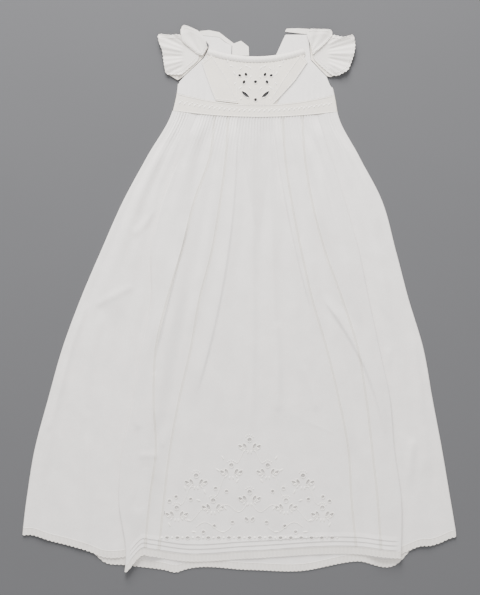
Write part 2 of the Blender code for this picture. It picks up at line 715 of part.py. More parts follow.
def make_bodice():
    place_plain = laid(bodice_height, left_bodice_roll, right_bodice_roll)
    turn_down = EDGE_RADIUS * math.pi / 2
    for side, name in ((-1, "left"), (1, "right")):
        seams = BODICE_SEAMS[name]
        roll = left_bodice_roll if side < 0 else right_bodice_roll
        top_y = 355.0 if side < 0 else 349.0
        start = float(roll(340.0))
        outer = [(float(roll(top_y)) + side * part * turn_down / 2, top_y) for part in (0, 1, 2)]
        corner = [meeting(roll, waist_high, start, side * part * turn_down / 2) for part in (2, 1, 0)]
        corner = [(x, float(waist_high(x))) for x in corner]
        end_x = seams["yoke_outer"][-1][0]
        end = (end_x, float(waist_high(end_x)))
        yoke_outer = [*seams["yoke_outer"][:-1], end]
        waist = [(float(x), float(waist_high(x))) for x in np.linspace(corner[-1][0], end[0] + side * GAP, 12)[1:]]
        mid_line = [(x + side * GAP * 1.4, y) for x, y in between(yoke_outer, 2)]
        outline = [*outer, *corner, *waist[:-1], *reversed(mid_line), *reversed(seams["armhole"])]
        inner = [(x, float(waist_high(x)) + up) for x, _ in waist[:-2] for up in (7, 18)]
        for y in (344.0, 349.5):
            inner += [(float(roll(y)) + side * across, y) for across in (turn_down / 2, 0, -3.5)]
        inner = [p for p in inner if inside(np.array([p]), np.array(outline))[0]]
        cut_and_lay(f"bodice_{name}", outline, place_plain, muslin, inner)

        neck = [(x, float(neck_line(x)) - NECK_BAND - GAP) for x in np.linspace(seams["yoke_outer"][0][0],
                seams["yoke_inner"][0][0], 6)]
        foot = [(float(x), float(waist_high(x))) for x in np.linspace(seams["yoke_inner"][-1][0],
                seams["yoke_outer"][-1][0], 3)]
        outline = [*neck, *between(seams["yoke_inner"], 1)[1:-1], *foot, *reversed(seams["yoke_outer"][1:-1])]
        cut_and_lay(f"bodice_yoke_{name}", outline, laid(bodice_height), insertion)
        cut_and_lay(f"robing_{name}", seams["robing"], laid(robing_height), insertion)

    left = [(x + GAP, y) for x, y in BODICE_SEAMS["left"]["yoke_inner"]]
    right = [(x - GAP, y) for x, y in BODICE_SEAMS["right"]["yoke_inner"]]
    neck = [(x, float(neck_line(x)) - NECK_BAND - GAP) for x in np.linspace(left[0][0], right[0][0], 6)]
    foot = [(x, float(waist_high(x))) for x in np.linspace(right[-1][0], left[-1][0], 5)]
    holes = []
    for across, y, width, length, lean in BODICE_EYELETS:
        for side in (-1, 1):
            holes.append(ellipse(BODICE_CENTRE + side * across, y, width, length, side * lean, 6))
    for across, y, width, length, lean in BODICE_MIDDLE_EYELETS:
        holes.append(ellipse(BODICE_CENTRE + across, y, width, length, lean, 6))
    cut_and_lay("bodice_center", [*neck, *right[1:-1], *foot, *reversed(left[1:-1])], laid(bodice_height),
                insertion, (), holes)

    xs = np.linspace(-50, 105, 25)
    top = [(float(x), float(neck_line(x))) for x in xs]
    low = [(float(x), float(neck_line(x)) - NECK_BAND) for x in np.linspace(-54.0, 109.5, 25)]
    inner = [(float(x), float(neck_line(x)) - NECK_BAND / 2) for x in np.linspace(-49, 104, 24)]
    cut_and_lay("neck_band", [*top, *reversed(low)], laid(neck_band_height), lace, inner)


def make_back_bodice():
    shapes = {
        "left": ((-101 + BACK_INSET, 357.5), (-91.3, 366.5), (-73.8, 383.2), (-59.2, 396.6), (-51, 412),
                 (-49.5, 418.5), (-56, 427.5), (-65, 434.8), (-33, 431.5), (-24, 424), (-12.5, 418), (-14, 392), (-5.5, 352)),
        "right": ((150 - BACK_INSET, 351.5), (144.3, 366.4), (132.3, 378.4), (118.2, 393.5), (116, 410),
                  (114, 436), (76, 436), (60.5, 402), (60, 352)),
    }
    edgings = {
        "left": ((-65, 442), (-50, 443.5), (-33, 440), (-22, 431.5), (-9, 421.5), (3, 426), (15.5, 416),
                 (16, 401.5), (-12, 401), (-11.5, 417.5), (-23.7, 424.6), (-32.8, 432), (-65.5, 435.4)),
        "right": ((75.5, 441), (78, 446), (96, 446.5), (115, 445.5), (114.3, 436.4)),
    }
    for side, name in ((-1, "left"), (1, "right")):
        shape = shapes[name]
        foot_x = np.linspace(shape[0][0], float(placket_edge(side, 321)), 10)
        foot = [(float(x), float(waist_high(x))) for x in foot_x]
        cut_and_lay(f"back_bodice_{name}", [*shape, *reversed(foot)], laid(flat_height), muslin)
        cut_and_lay(f"back_neck_edging_{name}", edgings[name], laid(flat_height), lace)


# Sleeves: the fold along the top, the open hem, and the armhole, then the two frills' outlines
SLEEVES = {
    "left": {
        "fold": ((-126, 428), (-110, 431), (-94, 436), (-76, 438), (-62, 428), (-52, 415)),
        "hem": ((-126, 428), (-123, 400), (-120, 372)),
        "armhole": ((-101.2, 361), (-91.2, 367.8), (-73.7, 384.3), (-59.8, 397.8), (-52, 415)),
        "frill": ((-134.7, 437.3), (-133, 424), (-127.5, 411), (-125, 391), (-121.4, 369.6), (-106, 368.8),
                  (-95, 368.5), (-80, 382), (-66, 396), (-70, 410), (-84, 418), (-98, 436.5), (-112.6, 434.9)),
        "shoulder": ((-92, 452), (-97, 442), (-94, 424), (-82, 414), (-70, 404), (-60.5, 400.5), (-53, 413),
                     (-55, 426), (-66, 441)),
        "axis": (-60, 400),
    },
    "right": {
        "fold": ((117, 431), (134, 436), (152, 433), (170, 430), (184, 430)),
        "hem": ((184, 430), (184, 400), (178, 378)),
        "armhole": ((150.5, 366), (144.5, 367.7), (132.5, 379.7), (118.4, 394.8), (116.9, 414), (117, 431)),
        "frill": ((188.5, 436), (191.8, 419), (189.5, 402.6), (184.5, 387.8), (179.5, 376), (163, 367.2),
                  (152.5, 367.5), (136, 381.5), (122, 397), (121, 417), (135, 424), (152, 436), (173, 431)),
        "shoulder": ((110, 442), (117, 444.5), (152, 443.5), (153.5, 434), (143, 422), (131, 411), (121, 402),
                     (119, 412)),
        "axis": (116, 404),
    },
}


def sleeve_waves(name, x, y):
    """Gathers that fan out from the armhole and deepen towards the frill's edge."""
    ax, ay = SLEEVES[name]["axis"]
    angle = np.arctan2(y - ay, x - ax)
    reach = np.hypot(x - ax, y - ay)
    return (1 + np.cos(angle * 13)) / 2 * (0.6 + 0.02 * reach)


def two_layers(x, y, layer):
    """The sleeve's two layers pressed flat as one wall, a little fuller away from its edges."""
    full = 0.3 * (1 + np.cos(x * 0.35)) / 2
    return x, y, layer * (2 * LAYER - GAP + full)


def make_sleeves():
    for side, name in ((-1, "left"), (1, "right")):
        shapes = SLEEVES[name]
        fold = np.array(shapes["fold"], float)
        radius = LAYER / 2 + 0.65

        def fold_line(x, fold=fold):
            return smooth(x, fold[:, 0], fold[:, 1])

        def sleeve_height(x, y, fold_line=fold_line, radius=radius):
            return LAYER + (2 * radius - LAYER) * np.exp(-np.maximum(fold_line(x) - y, 0) / 8)

        def frill_height(x, y, name=name, side=side, sleeve_height=sleeve_height):
            clear = (x - (BODICE_CENTRE + side * 116)) * side
            return sleeve_height(x, y) + LAYER + GAP + sleeve_waves(name, x, y) * ease(clear / 10)

        def shoulder_height(x, y, name=name, sleeve_height=sleeve_height):
            return sleeve_height(x, y) + 2 * (LAYER + GAP) + 0.8 * sleeve_waves(name, x, y)

        along = between(shapes["hem"], 2)
        bottom = between((shapes["hem"][-1], shapes["armhole"][0]), 3)[1:-1]
        upper = [*along, *bottom, *shapes["armhole"]]
        fold_xs = np.linspace(upper[-1][0], upper[0][0], 12)[1:-1]
        outline = [*upper, *((float(x), float(fold_line(x))) for x in fold_xs)]
        edge = np.array(outline)
        inner = [(x, y) for x in np.arange(edge[:, 0].min() + 5, edge[:, 0].max(), 9.0)
                 for y in np.arange(edge[:, 1].min() + 5, edge[:, 1].max(), 9.0)]
        inner = [p for p in inner if inside(np.array([p]), edge)[0]
                 and np.linalg.norm(edge - p, axis=1).min() > 3]
        cut_and_lay(f"sleeve_{name}", outline, two_layers, insertion, inner)

        for kind, height, spacing in (("frill", frill_height, 6.5), ("shoulder", shoulder_height, 6.0)):
            loop = shapes[kind]
            xs, ys = zip(*loop)
            grid = [(x, y) for x in np.arange(min(xs) + 3, max(xs), spacing)
                    for y in np.arange(min(ys) + 3, max(ys), spacing)]
            steps = between([*loop, loop[0]], 2)[:-1]
            edge = np.array(steps)
            inner = [p for p in grid if inside(np.array([p]), edge)[0]
                     and np.linalg.norm(edge - p, axis=1).min() > 2.5]
            node = f"sleeve_frill_{name}" if kind == "frill" else f"shoulder_frill_{name}"
            cut_and_lay(node, steps, laid(height), lace, inner)


def cloth_material(name, colour, roughness):
    material = bpy.data.materials.new(name)
    material.use_nodes = True
    shader = material.node_tree.nodes["Principled BSDF"]
    shader.inputs["Base Color"].default_value = (*colour, 1)
    shader.inputs["Roughness"].default_value = roughness
    shader.inputs["Metallic"].default_value = 0.0
    return material


for leftover in list(bpy.data.objects):
    bpy.data.objects.remove(leftover, do_unlink=True)

gown = bpy.data.collections.new("christening_gown")
bpy.context.scene.collection.children.link(gown)

muslin = cloth_material("white_muslin", (0.72, 0.69, 0.67), 0.85)
lace = cloth_material("whitework_edging", (0.70, 0.66, 0.61), 0.85)
insertion = cloth_material("embroidered_insertion", (0.74, 0.68, 0.62), 0.85)

make_skirt()
make_back()
make_waist()
make_bodice()
make_back_bodice()
make_sleeves()
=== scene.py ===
import math
from functools import partial

import bpy
import numpy as np
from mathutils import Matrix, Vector


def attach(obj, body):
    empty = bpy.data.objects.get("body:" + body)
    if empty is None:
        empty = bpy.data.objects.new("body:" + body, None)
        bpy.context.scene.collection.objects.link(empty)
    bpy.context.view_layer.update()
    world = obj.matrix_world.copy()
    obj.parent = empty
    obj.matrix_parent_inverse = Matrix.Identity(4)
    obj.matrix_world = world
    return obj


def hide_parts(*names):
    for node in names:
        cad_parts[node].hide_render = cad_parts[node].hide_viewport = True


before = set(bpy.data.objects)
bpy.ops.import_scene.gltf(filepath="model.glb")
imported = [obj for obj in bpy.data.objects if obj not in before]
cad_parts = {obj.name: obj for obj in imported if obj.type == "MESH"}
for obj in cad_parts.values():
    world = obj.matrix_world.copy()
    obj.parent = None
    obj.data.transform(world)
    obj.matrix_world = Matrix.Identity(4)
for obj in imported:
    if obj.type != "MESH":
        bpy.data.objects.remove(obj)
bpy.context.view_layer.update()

mm = 0.001
cloth = 1.0                     # wall of the solids that the thin cloth lies in
gap = 0.3                       # between pieces at a seam, and between layers
layer = cloth + gap
clothWall = (0.5, 0.86)         # under and upper face of the thin cloth in that wall, from 0 to 1
backWall = (0.2, 0.7)           # the same for what lies lowest
edgeRadius = 1.8                # middle of the wall where a side turns down to the floor
foldRadius = 1.65               # middle of the wall where the front rolls under
returnDepth = 33.0              # cloth turned under at each large fold of the front
backInset = 2.6                 # the back ends inside the turned-down sides by this
edging = 12.0                   # depth of the scalloped edging at the hem
sideNames = {-1: "left", 1: "right"}

waist = {"centre": 32.0, "low": 299.6, "lowBend": 5.4e-4, "high": 320.4, "highBend": 1.06e-3}
neck = {"centre": 26.8, "low": 399.8, "bend": 2.1e-3, "band": 10.0, "casing": 1.2}
gathers = {
    "count": 60,                # fine gathers across the waist
    "height": 1.5,
    "reach": 32,                # they fade over this length
    "broad": 14,                # soft folds that they run into
    "broadHeight": 1.3,
    "broadStart": 50,           # the soft folds rise over this length, and sink from and over the next two
    "sinkFrom": 230,
    "sinkOver": 300,
    "sink": 0.75,
}
tucks = {"count": 3, "pitch": 7.5, "height": 1.0, "rows": 34}
placket = {"top": 300.0, "foot": 92.0, -1: (-6.0, 30.0), 1: (59.0, 34.0)}   # across at its top and foot

# Places across the skirt: a row for each height, a column for each edge, fold and seam
sectionColumns = ("y", "left_edge", "left_fold", "left_outer", "left_inner",
                  "right_inner", "right_outer", "right_fold", "right_edge")
sections = (
    (-450, -368.0, -189.0, -156.0, -136.0, 196.0, 235.0, 267.0, 370.0),
    (-430, -364.0, -187.0, -155.5, -134.0, 194.5, 234.0, 267.0, 366.0),
    (-330, -351.0, -198.5, -147.5, -124.0, 185.0, 227.5, 267.0, 348.5),
    (-250, -338.0, -192.5, -137.5, -114.5, 180.0, 219.0, 256.0, 335.0),
    (-165, -315.5, -174.5, -141.0, -99.0, 164.0, 209.0, 248.5, 319.0),
    (-80, -291.5, -161.0, -137.0, -79.5, 143.5, 194.5, 230.5, 303.5),
    (0, -262.0, -145.0, -118.0, -65.5, 120.0, 169.5, 213.5, 279.5),
    (80, -228.0, -145.0, -94.5, -45.0, 102.0, 141.0, 197.0, 258.5),
    (165, -190.0, -125.0, -73.0, -31.0, 85.5, 119.0, 173.0, 234.5),
    (235, -152.0, -98.0, -48.0, -22.0, 75.5, 108.0, 151.5, 198.0),
    (310, -110.5, -70.0, -39.0, -17.7, 71.4, 103.0, 130.0, 162.0),
    (320, -108.0, -66.0, -37.0, -17.0, 71.0, 102.0, 128.0, 161.0),
)

# Lower edge of each hem: x, y
frontHem = ((-226, -408), (-196, -442), (-189, -450), (-184, -448), (-175, -437), (-161, -423),
            (-145, -424), (-124, -428), (-96, -432), (16, -428), (194, -421), (262, -427),
            (272, -427), (306, -412))
sideHemLeft = ((-364, -386), (-358, -389), (-345, -389), (-311, -399), (-279, -407),
               (-246, -417), (-227, -425), (-180, -425), (-150, -424))
sideHemRight = ((225, -425), (262, -422), (282, -414), (298, -408), (315, -407), (332, -402),
                (345, -396), (358, -392), (364, -391))
backHem = ((-362, -384), (-310, -396), (-246, -414), (-223, -434), (-190, -439), (-124, -447),
           (-103, -451), (-91, -447), (16, -447), (99, -449), (194, -433), (262, -436),
           (285, -412), (358, -389))

# Folds of the front: a crest through three places, its height, its width, and the side that
# stays high where one side drops sharply (-1 left, 1 right, 0 for an even ridge)
# columns: top x, top y, middle x, middle y, low x, low y, height, width, high side
frontFolds = (
    (-5.4, 292, -16.9, 97, -71.4, -155, 2.4, 9.0, -1),
    (14.4, 292, 21.0, 114, 19.0, -219, 2.0, 7.0, 0),
    (49.0, 270, 52.4, 97, 64.6, -167, 1.8, 7.0, 0),
    (57.3, 290, 82.0, 138, 120.0, -22, 2.6, 6.0, 1),
    (94.0, 110, 146.0, -80, 182.0, -250, 2.2, 10.0, 0),
    (140.0, -2, 194.0, -85, 238.0, -222, 2.6, 9.0, 1),
    (119.0, 266, 152.0, 138, 203.0, -40, 2.0, 9.0, -1),
    (-84.6, 127, -107.0, 41, -140.0, -96, 2.6, 9.0, -1),
    (-32.0, 270, -50.0, 120, -82.0, -60, 1.6, 9.0, 0),
    (-118.0, -210, -146.0, -300, -165.0, -395, 1.8, 12.0, 0),
    (98.0, -195, 124.0, -207, 158.0, -223, 1.2, 7.0, 0),
)
sideFolds = (
    (-125.0, 251, -173.0, 139, -214.0, -38, 2.2, 12.0, 0),
    (-256.0, -17, -297.0, -158, -322.0, -300, 1.6, 8.0, 0),
    (-226.0, -20, -246.0, -110, -256.0, -215, 1.6, 9.0, 0),
    (-250.0, -225, -250.0, -300, -252.0, -385, 1.4, 8.0, 0),
    (164.0, 272, 211.0, 180, 229.0, 100, 2.0, 9.0, 0),
    (224.0, 95, 238.0, 21, 256.0, -60, 1.6, 8.0, 0),
    (287.0, -64, 294.0, -135, 314.0, -300, 2.0, 9.0, 0),
    (290.0, -226, 283.0, -280, 277.0, -330, 1.4, 7.0, 0),
)


def smooth(at, xs, ys):
    # cubic curve through the points of a table, level past its ends
    xs = np.asarray(xs, float)
    ys = np.asarray(ys, float)
    slope = np.gradient(ys, xs)
    at = np.clip(np.asarray(at, float), xs[0], xs[-1])
    i = np.clip(np.searchsorted(xs, at) - 1, 0, len(xs) - 2)
    step = xs[i + 1] - xs[i]
    t = (at - xs[i]) / step
    start = (2 * t**3 - 3 * t**2 + 1) * ys[i] + (t**3 - 2 * t**2 + t) * step * slope[i]
    end = (3 * t**2 - 2 * t**3) * ys[i + 1] + (t**3 - t**2) * step * slope[i + 1]
    return start + end


def ease(t):
    # rises softly from 0 to 1
    t = np.clip(t, 0.0, 1.0)
    return t * t * (3 - 2 * t)


def seam(column, y):
    # where an edge, fold or seam of the skirt lies at a height
    table = np.array(sections, float)
    return smooth(y, table[:, 0], table[:, sectionColumns.index(column)])


def hem(table, x):
    points = np.array(table, float)
    return smooth(x, points[:, 0], points[:, 1])


def waistLow(x):
    return waist["low"] + waist["lowBend"] * (x - waist["centre"]) ** 2


def waistHigh(x):
    return waist["high"] + waist["highBend"] * (x - waist["centre"]) ** 2


def neckLine(x):
    return neck["low"] + neck["bend"] * (x - neck["centre"]) ** 2


def neckFoot(x):
    return neckLine(x) - neck["band"]


def crest(fold, y):
    # where a fold's crest lies at a height: a parabola through its three places
    x0, y0, x1, y1, x2, y2 = fold[:6]
    a = (y - y1) * (y - y2) / ((y0 - y1) * (y0 - y2))
    b = (y - y0) * (y - y2) / ((y1 - y0) * (y1 - y2))
    c = (y - y0) * (y - y1) / ((y2 - y0) * (y2 - y1))
    return a * x0 + b * x1 + c * x2


# A fold starts and ends this far past its table's places, rises and fades over these lengths, and where one
# side drops, its high side and its drop are this much wider and steeper
foldForm = {"past": 12, "rise": 40, "fade": 60, "highSide": 0.55, "drop": 3.2}


def foldRelief(folds, x, y):
    # height that the folds of a table add: ridges, or pleat edges that drop on one side
    total = np.zeros(np.broadcast(x, y).shape)
    for fold in folds:
        top, low, height, width, side = fold[1], fold[5], fold[6], fold[7], fold[8]
        d = (x - crest(fold, np.clip(y, low, top))) / width
        if side:
            d = np.where(d * side > 0, d * foldForm["highSide"], d * foldForm["drop"])
        fade = ease((top + foldForm["past"] - y) / foldForm["rise"])
        fade = fade * ease((y - low + foldForm["past"]) / foldForm["fade"])
        total = np.maximum(total, height * np.exp(-d * d) * fade)
    return total


def gatherRelief(x, y):
    # fine gathers under the waistband that run into broad soft folds
    left = seam("left_edge", y)
    across = (x - left) / (seam("right_edge", y) - left)
    below = np.maximum(waistLow(x) - y, 0)
    fine = gathers["height"] * np.exp(-below / gathers["reach"])
    fine = fine * (1 + np.cos(2 * math.pi * gathers["count"] * across)) / 2
    drift = 1.1 * np.sin(9.0 * across + 0.4) + 0.7 * np.sin(17 * across)
    broad = (1 + np.cos(2 * math.pi * gathers["broad"] * across + drift)) / 2
    sunk = gathers["sink"] * ease((below - gathers["sinkFrom"]) / gathers["sinkOver"])
    return fine + gathers["broadHeight"] * broad * (ease(below / gathers["broadStart"]) * (1 - sunk))


def underlap(y):
    # how far the side lies under the front at each large fold
    return returnDepth * ease((waist["low"] - y - 40) / 120)


def foldInset(side, x, y):
    # distance into the front from one of its two large folds
    return side * (seam(f"{sideNames[side]}_fold", y) - x) - foldRadius - cloth / 2


def tuckRelief(x, y):
    # narrow tucks above the front edging, each with its edge to the hem
    part = (y - hem(frontHem, x) - edging - 1.5) / tucks["pitch"]
    tucked = (part >= 0) & (part < tucks["count"])
    return np.where(tucked, tucks["height"] * (1 - part % 1.0), 0.0)


# Lengths over which the front rises over the side under it, lies calm beside its folds, lifts off the back
# below the waist, and loses its folds above the hem, and the share of them that stays there
frontLie = {"shelfStart": 3, "shelf": 26, "calm": 12, "lift": 40, "hemCalm": 70, "hemShare": 0.25}
# The same for a side: from the front's fold, and from its outer edge
sideLie = {"start": 5, "clear": 16, "outer": 14}
bodiceGathers = {"height": 0.9, "inner": 69, "slant": 0.37, "innerSoft": 12, "outer": 126, "outerSoft": 14,
                 "reach": 22, "run": 0.62}
bandLift = {"height": 1.2, "left": -98, "right": 154, "soft": 30}


def frontHeight(x, y):
    # underside of the skirt's front: on the back, over the sides' inner edges, with its folds
    below = waistLow(x) - y
    shelf = np.zeros(np.broadcast(x, y).shape)
    calm = np.ones(shelf.shape)
    for side in (-1, 1):
        inset = foldInset(side, x, y)
        beyond = inset - underlap(y) - frontLie["shelfStart"]
        shelf = np.maximum(shelf, 1 - ease(beyond / frontLie["shelf"]))
        calm = calm * ease(inset / frontLie["calm"])
    lift = ease(below / frontLie["lift"]) * (2 * layer + 2 * foldRadius - layer)
    relief = foldRelief(frontFolds, x, y) + gatherRelief(x, y)
    aboveHem = y - hem(frontHem, x) - edging
    kept = frontLie["hemShare"]
    relief = relief * (kept + (1 - kept) * ease(aboveHem / frontLie["hemCalm"]))
    return layer + shelf * lift + (relief + tuckRelief(x, y)) * calm


def sideCalm(x, y, form):
    # 0 at a side's outer edge and under the front, 1 where its folds are free to rise
    outer = np.minimum(x - seam("left_edge", y), seam("right_edge", y) - x) - edgeRadius - cloth / 2
    clear = np.maximum(seam("left_fold", y) - x, x - seam("right_fold", y)) - form["start"]
    return ease(outer / form["outer"]) * ease(clear / form["clear"])


def sideHeight(x, y):
    # underside of a skirt side: on the back, flat under the front and at its outer edge
    calm = sideCalm(x, y, sideLie)
    return layer + (foldRelief(sideFolds, x, y) + gatherRelief(x, y)) * calm


def flatHeight(x, y):
    return np.zeros(np.broadcast(x, y).shape)


def bodiceHeight(x, y):
    # underside of the front bodice, with a few soft gathers at its sides above the waist
    form = bodiceGathers
    off = np.abs(x - neck["centre"])
    rise = y - waistHigh(x)
    beside = ease((off - form["inner"] - form["slant"] * rise) / form["innerSoft"])
    beside = beside * ease((form["outer"] - off) / form["outerSoft"])
    folds = form["height"] * beside * np.exp(-rise / form["reach"]) * (1 + np.cos(x * form["run"]))
    return layer + folds / 2


def bandHeight(x, y):
    # the waistband, raised a little by the gathers behind it
    middle = ease((x - bandLift["left"]) / bandLift["soft"])
    middle = middle * ease((bandLift["right"] - x) / bandLift["soft"])
    return layer + bandLift["height"] * middle


def robingHeight(x, y):
    return flatHeight(x, y) + 2 * layer


def neckBandHeight(x, y):
    # a drawn casing, rounded between its two edges
    t = (neckLine(x) - y) / neck["band"]
    return layer + neck["casing"] * np.sin(math.pi * np.clip(t, 0, 1))


def frontRoll(side, y):
    # where the front starts to roll under at one of its two large folds: -1 is the left one, 1 the right
    return seam(f"{sideNames[side]}_fold", y) - side * foldRadius - side * cloth / 2


def sideRoll(side, y):
    # where the skirt's outer edge starts to turn down to the floor
    return seam(f"{sideNames[side]}_edge", y) - side * edgeRadius - side * cloth / 2


def bodiceEdge(side, y):
    # outer edge of the bodice and of the waistband
    places = (-112.0, -103.0, -101.0) if side < 0 else (163.5, 156.5, 152.0)
    return smooth(y, (300, 340, 358), places)


def bodiceRoll(side, y):
    return bodiceEdge(side, y) - side * edgeRadius - side * cloth / 2


def frontEnd(side, y):
    # end of the front's outer width in its flat pattern: past the roll by the cloth turned under
    turned = (math.pi * foldRadius + underlap(y)) * ease((waist["low"] - y - 60) / 110)
    return frontRoll(side, y) + side * turned


def sideEnd(side, y):
    # inner end of a side: beside the fold at the waist, under it lower down
    under = (underlap(y) + gap) * ease((waist["low"] - y - 40) / 10)
    return frontRoll(side, y) + side * gap - side * under


def placketEdge(side, y):
    # edge of the opening down the middle of the back, which narrows to its foot
    t = np.clip((placket["top"] - y) / (placket["top"] - placket["foot"]), 0, 1)
    start, end = placket[side]
    return start + (end - start) * t


def offsetSeam(column, offset):
    return lambda y: seam(column, y) + offset


def laid(height, left=None, right=None, radius=edgeRadius):
    # lays a flat pattern at a height, and carries what lies past a roll line round an edge and under.
    # A point's face is 0 on the wall's under side and 1 on its outer side.
    def place(x, y, face):
        out = (face - 0.5) * cloth
        held = x
        if left is not None:
            held = np.maximum(held, left(y))
        if right is not None:
            held = np.minimum(held, right(y))
        past = np.abs(x - held)
        turnTo = np.sign(x - held)
        angle = np.clip(past / radius, 0, math.pi)
        back = np.maximum(past - math.pi * radius, 0)
        moved = held + turnTo * (radius * np.sin(angle) - back + out * np.sin(angle))
        base = height(held, y) + cloth / 2
        z = np.maximum(base - radius * (1 - np.cos(angle)) + out * np.cos(angle), 0.0)
        return moved, y, z
    return place


def inside(points, loop):
    # which points lie inside a closed outline
    x, y = points[:, 0], points[:, 1]
    found = np.zeros(len(points), bool)
    for (x0, y0), (x1, y1) in zip(loop, np.roll(loop, -1, axis=0)):
        if y0 != y1:
            crosses = ((y0 > y) != (y1 > y)) & (x < (x1 - x0) * (y - y0) / (y1 - y0) + x0)
            found ^= crosses
    return found


def ellipse(x, y, width, length, lean, count):
    # outline of an eyelet, its length along its lean from upright in degrees
    turn = math.radians(lean)
    loop = []
    for i in range(count):
        angle = 2 * math.pi * i / count
        a = width / 2 * math.sin(angle)
        b = length / 2 * math.cos(angle)
        right = a * math.cos(turn) + b * math.sin(turn)
        loop.append((x + right, y - a * math.sin(turn) + b * math.cos(turn)))
    return loop


def bothSides(places, centre):
    # each place of a table left and right of a middle, or once where it lies on it
    for across, y, *rest in places:
        for side in ((-1, 1) if across else (1,)):
            yield side, centre + side * across, y, *rest


def along(line, xs, drop=0.0):
    # points of a curve at some places across, lowered by a drop
    return [(float(x), float(line(x)) - drop) for x in xs]


def rowY(x, v, hemTable, rowsAbove):
    # height of a row of the skirt: v runs from 0 at the waist to 1 at the top of the edging
    top = waistLow(x) - gap
    bottom = hem(hemTable, x) + edging + gap + rowsAbove
    return top + (bottom - top) * v


def between(points, count):
    # points along a polyline, evenly in each stretch
    line = []
    for (x0, y0), (x1, y1) in zip(points, points[1:]):
        line += [(x0 + (x1 - x0) * i / count, y0 + (y1 - y0) * i / count) for i in range(count)]
    return [*line, points[-1]]


def raised(line, height):
    # path over the points of a flat line
    return np.column_stack([line, np.broadcast_to(height, len(line))])


def onCloth(place, x, y, face):
    # path over the points of a pattern line, laid as its cloth is
    return np.stack(place(x, y, np.full(len(x), face)), axis=1)


# Creases that lie across the gathers: height (negative for a trough), width, then x, y along it
creases = (
    (1.6, 7, -168.7, 110.6, -125.8, 155.1),
    (1.2, 6, -229.8, -6.6, -181.9, 18.2),
    (1.4, 5, -175.3, -183.2, -167.1, -207.9),
    (1.2, 5, -160.5, -257.4, -139.0, -257.4),
    (-1.6, 8, -152.2, -282.2, -155.5, -306.9, -167.1, -338.2),
    (1.0, 4, -139.0, -125.4, -140.7, -176.6, -132.4, -214.5, -127.5, -239.3),
    (1.2, 6, 245.4, -89.1, 242.1, -127.0),
    (1.4, 7, 283.4, -239.3, 273.5, -298.7, 266.9, -338.2),
    (1.1, 6, 108.5, -117.2, 118.4, -148.5, 125.0, -176.6),
    (-1.7, 12, 139.8, -1.7, 176.1, -44.6, 182.7, -75.9, 202.5, -166.7, 212.4, -232.7),
    (-1.6, 9, 72.2, 214.5, 118.4, 74.3),
    (1.3, 7, 63.9, -47.9, 65.6, -104.0, 63.9, -176.6),
    (1.2, 8, -249.6, -194.7, -249.6, -397.6),
    (1.2, 7, -257.8, -16.5, -279.3, -79.2, -299.1, -158.4, -313.9, -207.9),
    (-1.8, 9, -195.1, -151.8, -219.9, -313.5),
)


def creaseRelief(x, y):
    # height that the creases add: a bell across the nearest stretch of each crease's line
    total = np.zeros(np.broadcast(x, y).shape)
    for height, width, *line in creases:
        points = np.array(line).reshape(-1, 2)
        near = np.full(total.shape, 1e9)
        for (x0, y0), (x1, y1) in zip(points, points[1:]):
            runX, runY = x1 - x0, y1 - y0
            t = np.clip(((x - x0) * runX + (y - y0) * runY) / (runX ** 2 + runY ** 2), 0, 1)
            near = np.minimum(near, np.hypot(x - x0 - t * runX, y - y0 - t * runY))
        total += height * np.exp(-(near / width) ** 2)
    return total


def crumple(x, y):
    # small uneven waves of washed muslin: four sine waves that run different ways
    return 0.22 * (np.sin(x / 9.1 + y / 31) + np.sin(x / 5.3 - y / 23 + 1.7) * 0.6
                   + np.sin(y / 13.7 + x / 41 + 0.6) * 0.7 + np.sin((x + y) / 17.3) * 0.8)


# How deep the creases go on the front and the sides, how much of them shows, and where they fade
creaseForm = {"front": -0.5, "side": -0.2, "share": 0.9, "fold": 14, "waist": 40}
sideCrease = {"start": 3, "clear": 12, "outer": 14}


def frontClothHeight(x, y):
    calm = ease(np.minimum(foldInset(-1, x, y), foldInset(1, x, y)) / creaseForm["fold"])
    below = ease((waistLow(x) - y) / creaseForm["waist"])
    marks = np.maximum(creaseRelief(x, y) + crumple(x, y), creaseForm["front"])
    return frontHeight(x, y) + marks * calm * below * creaseForm["share"]


def sideClothHeight(x, y):
    marks = np.maximum(creaseRelief(x, y) + crumple(x, y), creaseForm["side"])
    return sideHeight(x, y) + marks * sideCalm(x, y, sideCrease) * creaseForm["share"]


def meshFrom(name, points, faces, material, paintedShade=None, pattern=None):
    # a mesh object from arrays: points in millimetres, faces of four corners each
    mesh = bpy.data.meshes.new(name)
    mesh.vertices.add(len(points))
    mesh.vertices.foreach_set("co", (np.asarray(points, float) * mm).ravel())
    mesh.loops.add(faces.size)
    mesh.loops.foreach_set("vertex_index", faces.ravel().astype(np.int32))
    mesh.polygons.add(len(faces))
    mesh.polygons.foreach_set("loop_start", np.arange(0, faces.size, 4, dtype=np.int32))
    mesh.update(calc_edges=True)
    # a factor per point that darkens the cloth's colour where shade is painted; 1 where none is
    shade = mesh.attributes.new("paintedShade", "FLOAT", "POINT")
    shade.data.foreach_set("value", np.ones(len(points)) if paintedShade is None else np.asarray(paintedShade, float))
    if pattern is not None:
        layerMap = mesh.uv_layers.new(name="pattern")
        layerMap.data.foreach_set("uv", pattern[faces.ravel()].ravel())
    mesh.shade_smooth()
    mesh.set_sharp_from_angle(angle=math.radians(60))
    mesh.validate()
    piece = bpy.data.objects.new(name, mesh)
    piece.data.materials.append(material)
    bpy.context.scene.collection.objects.link(piece)
    return piece


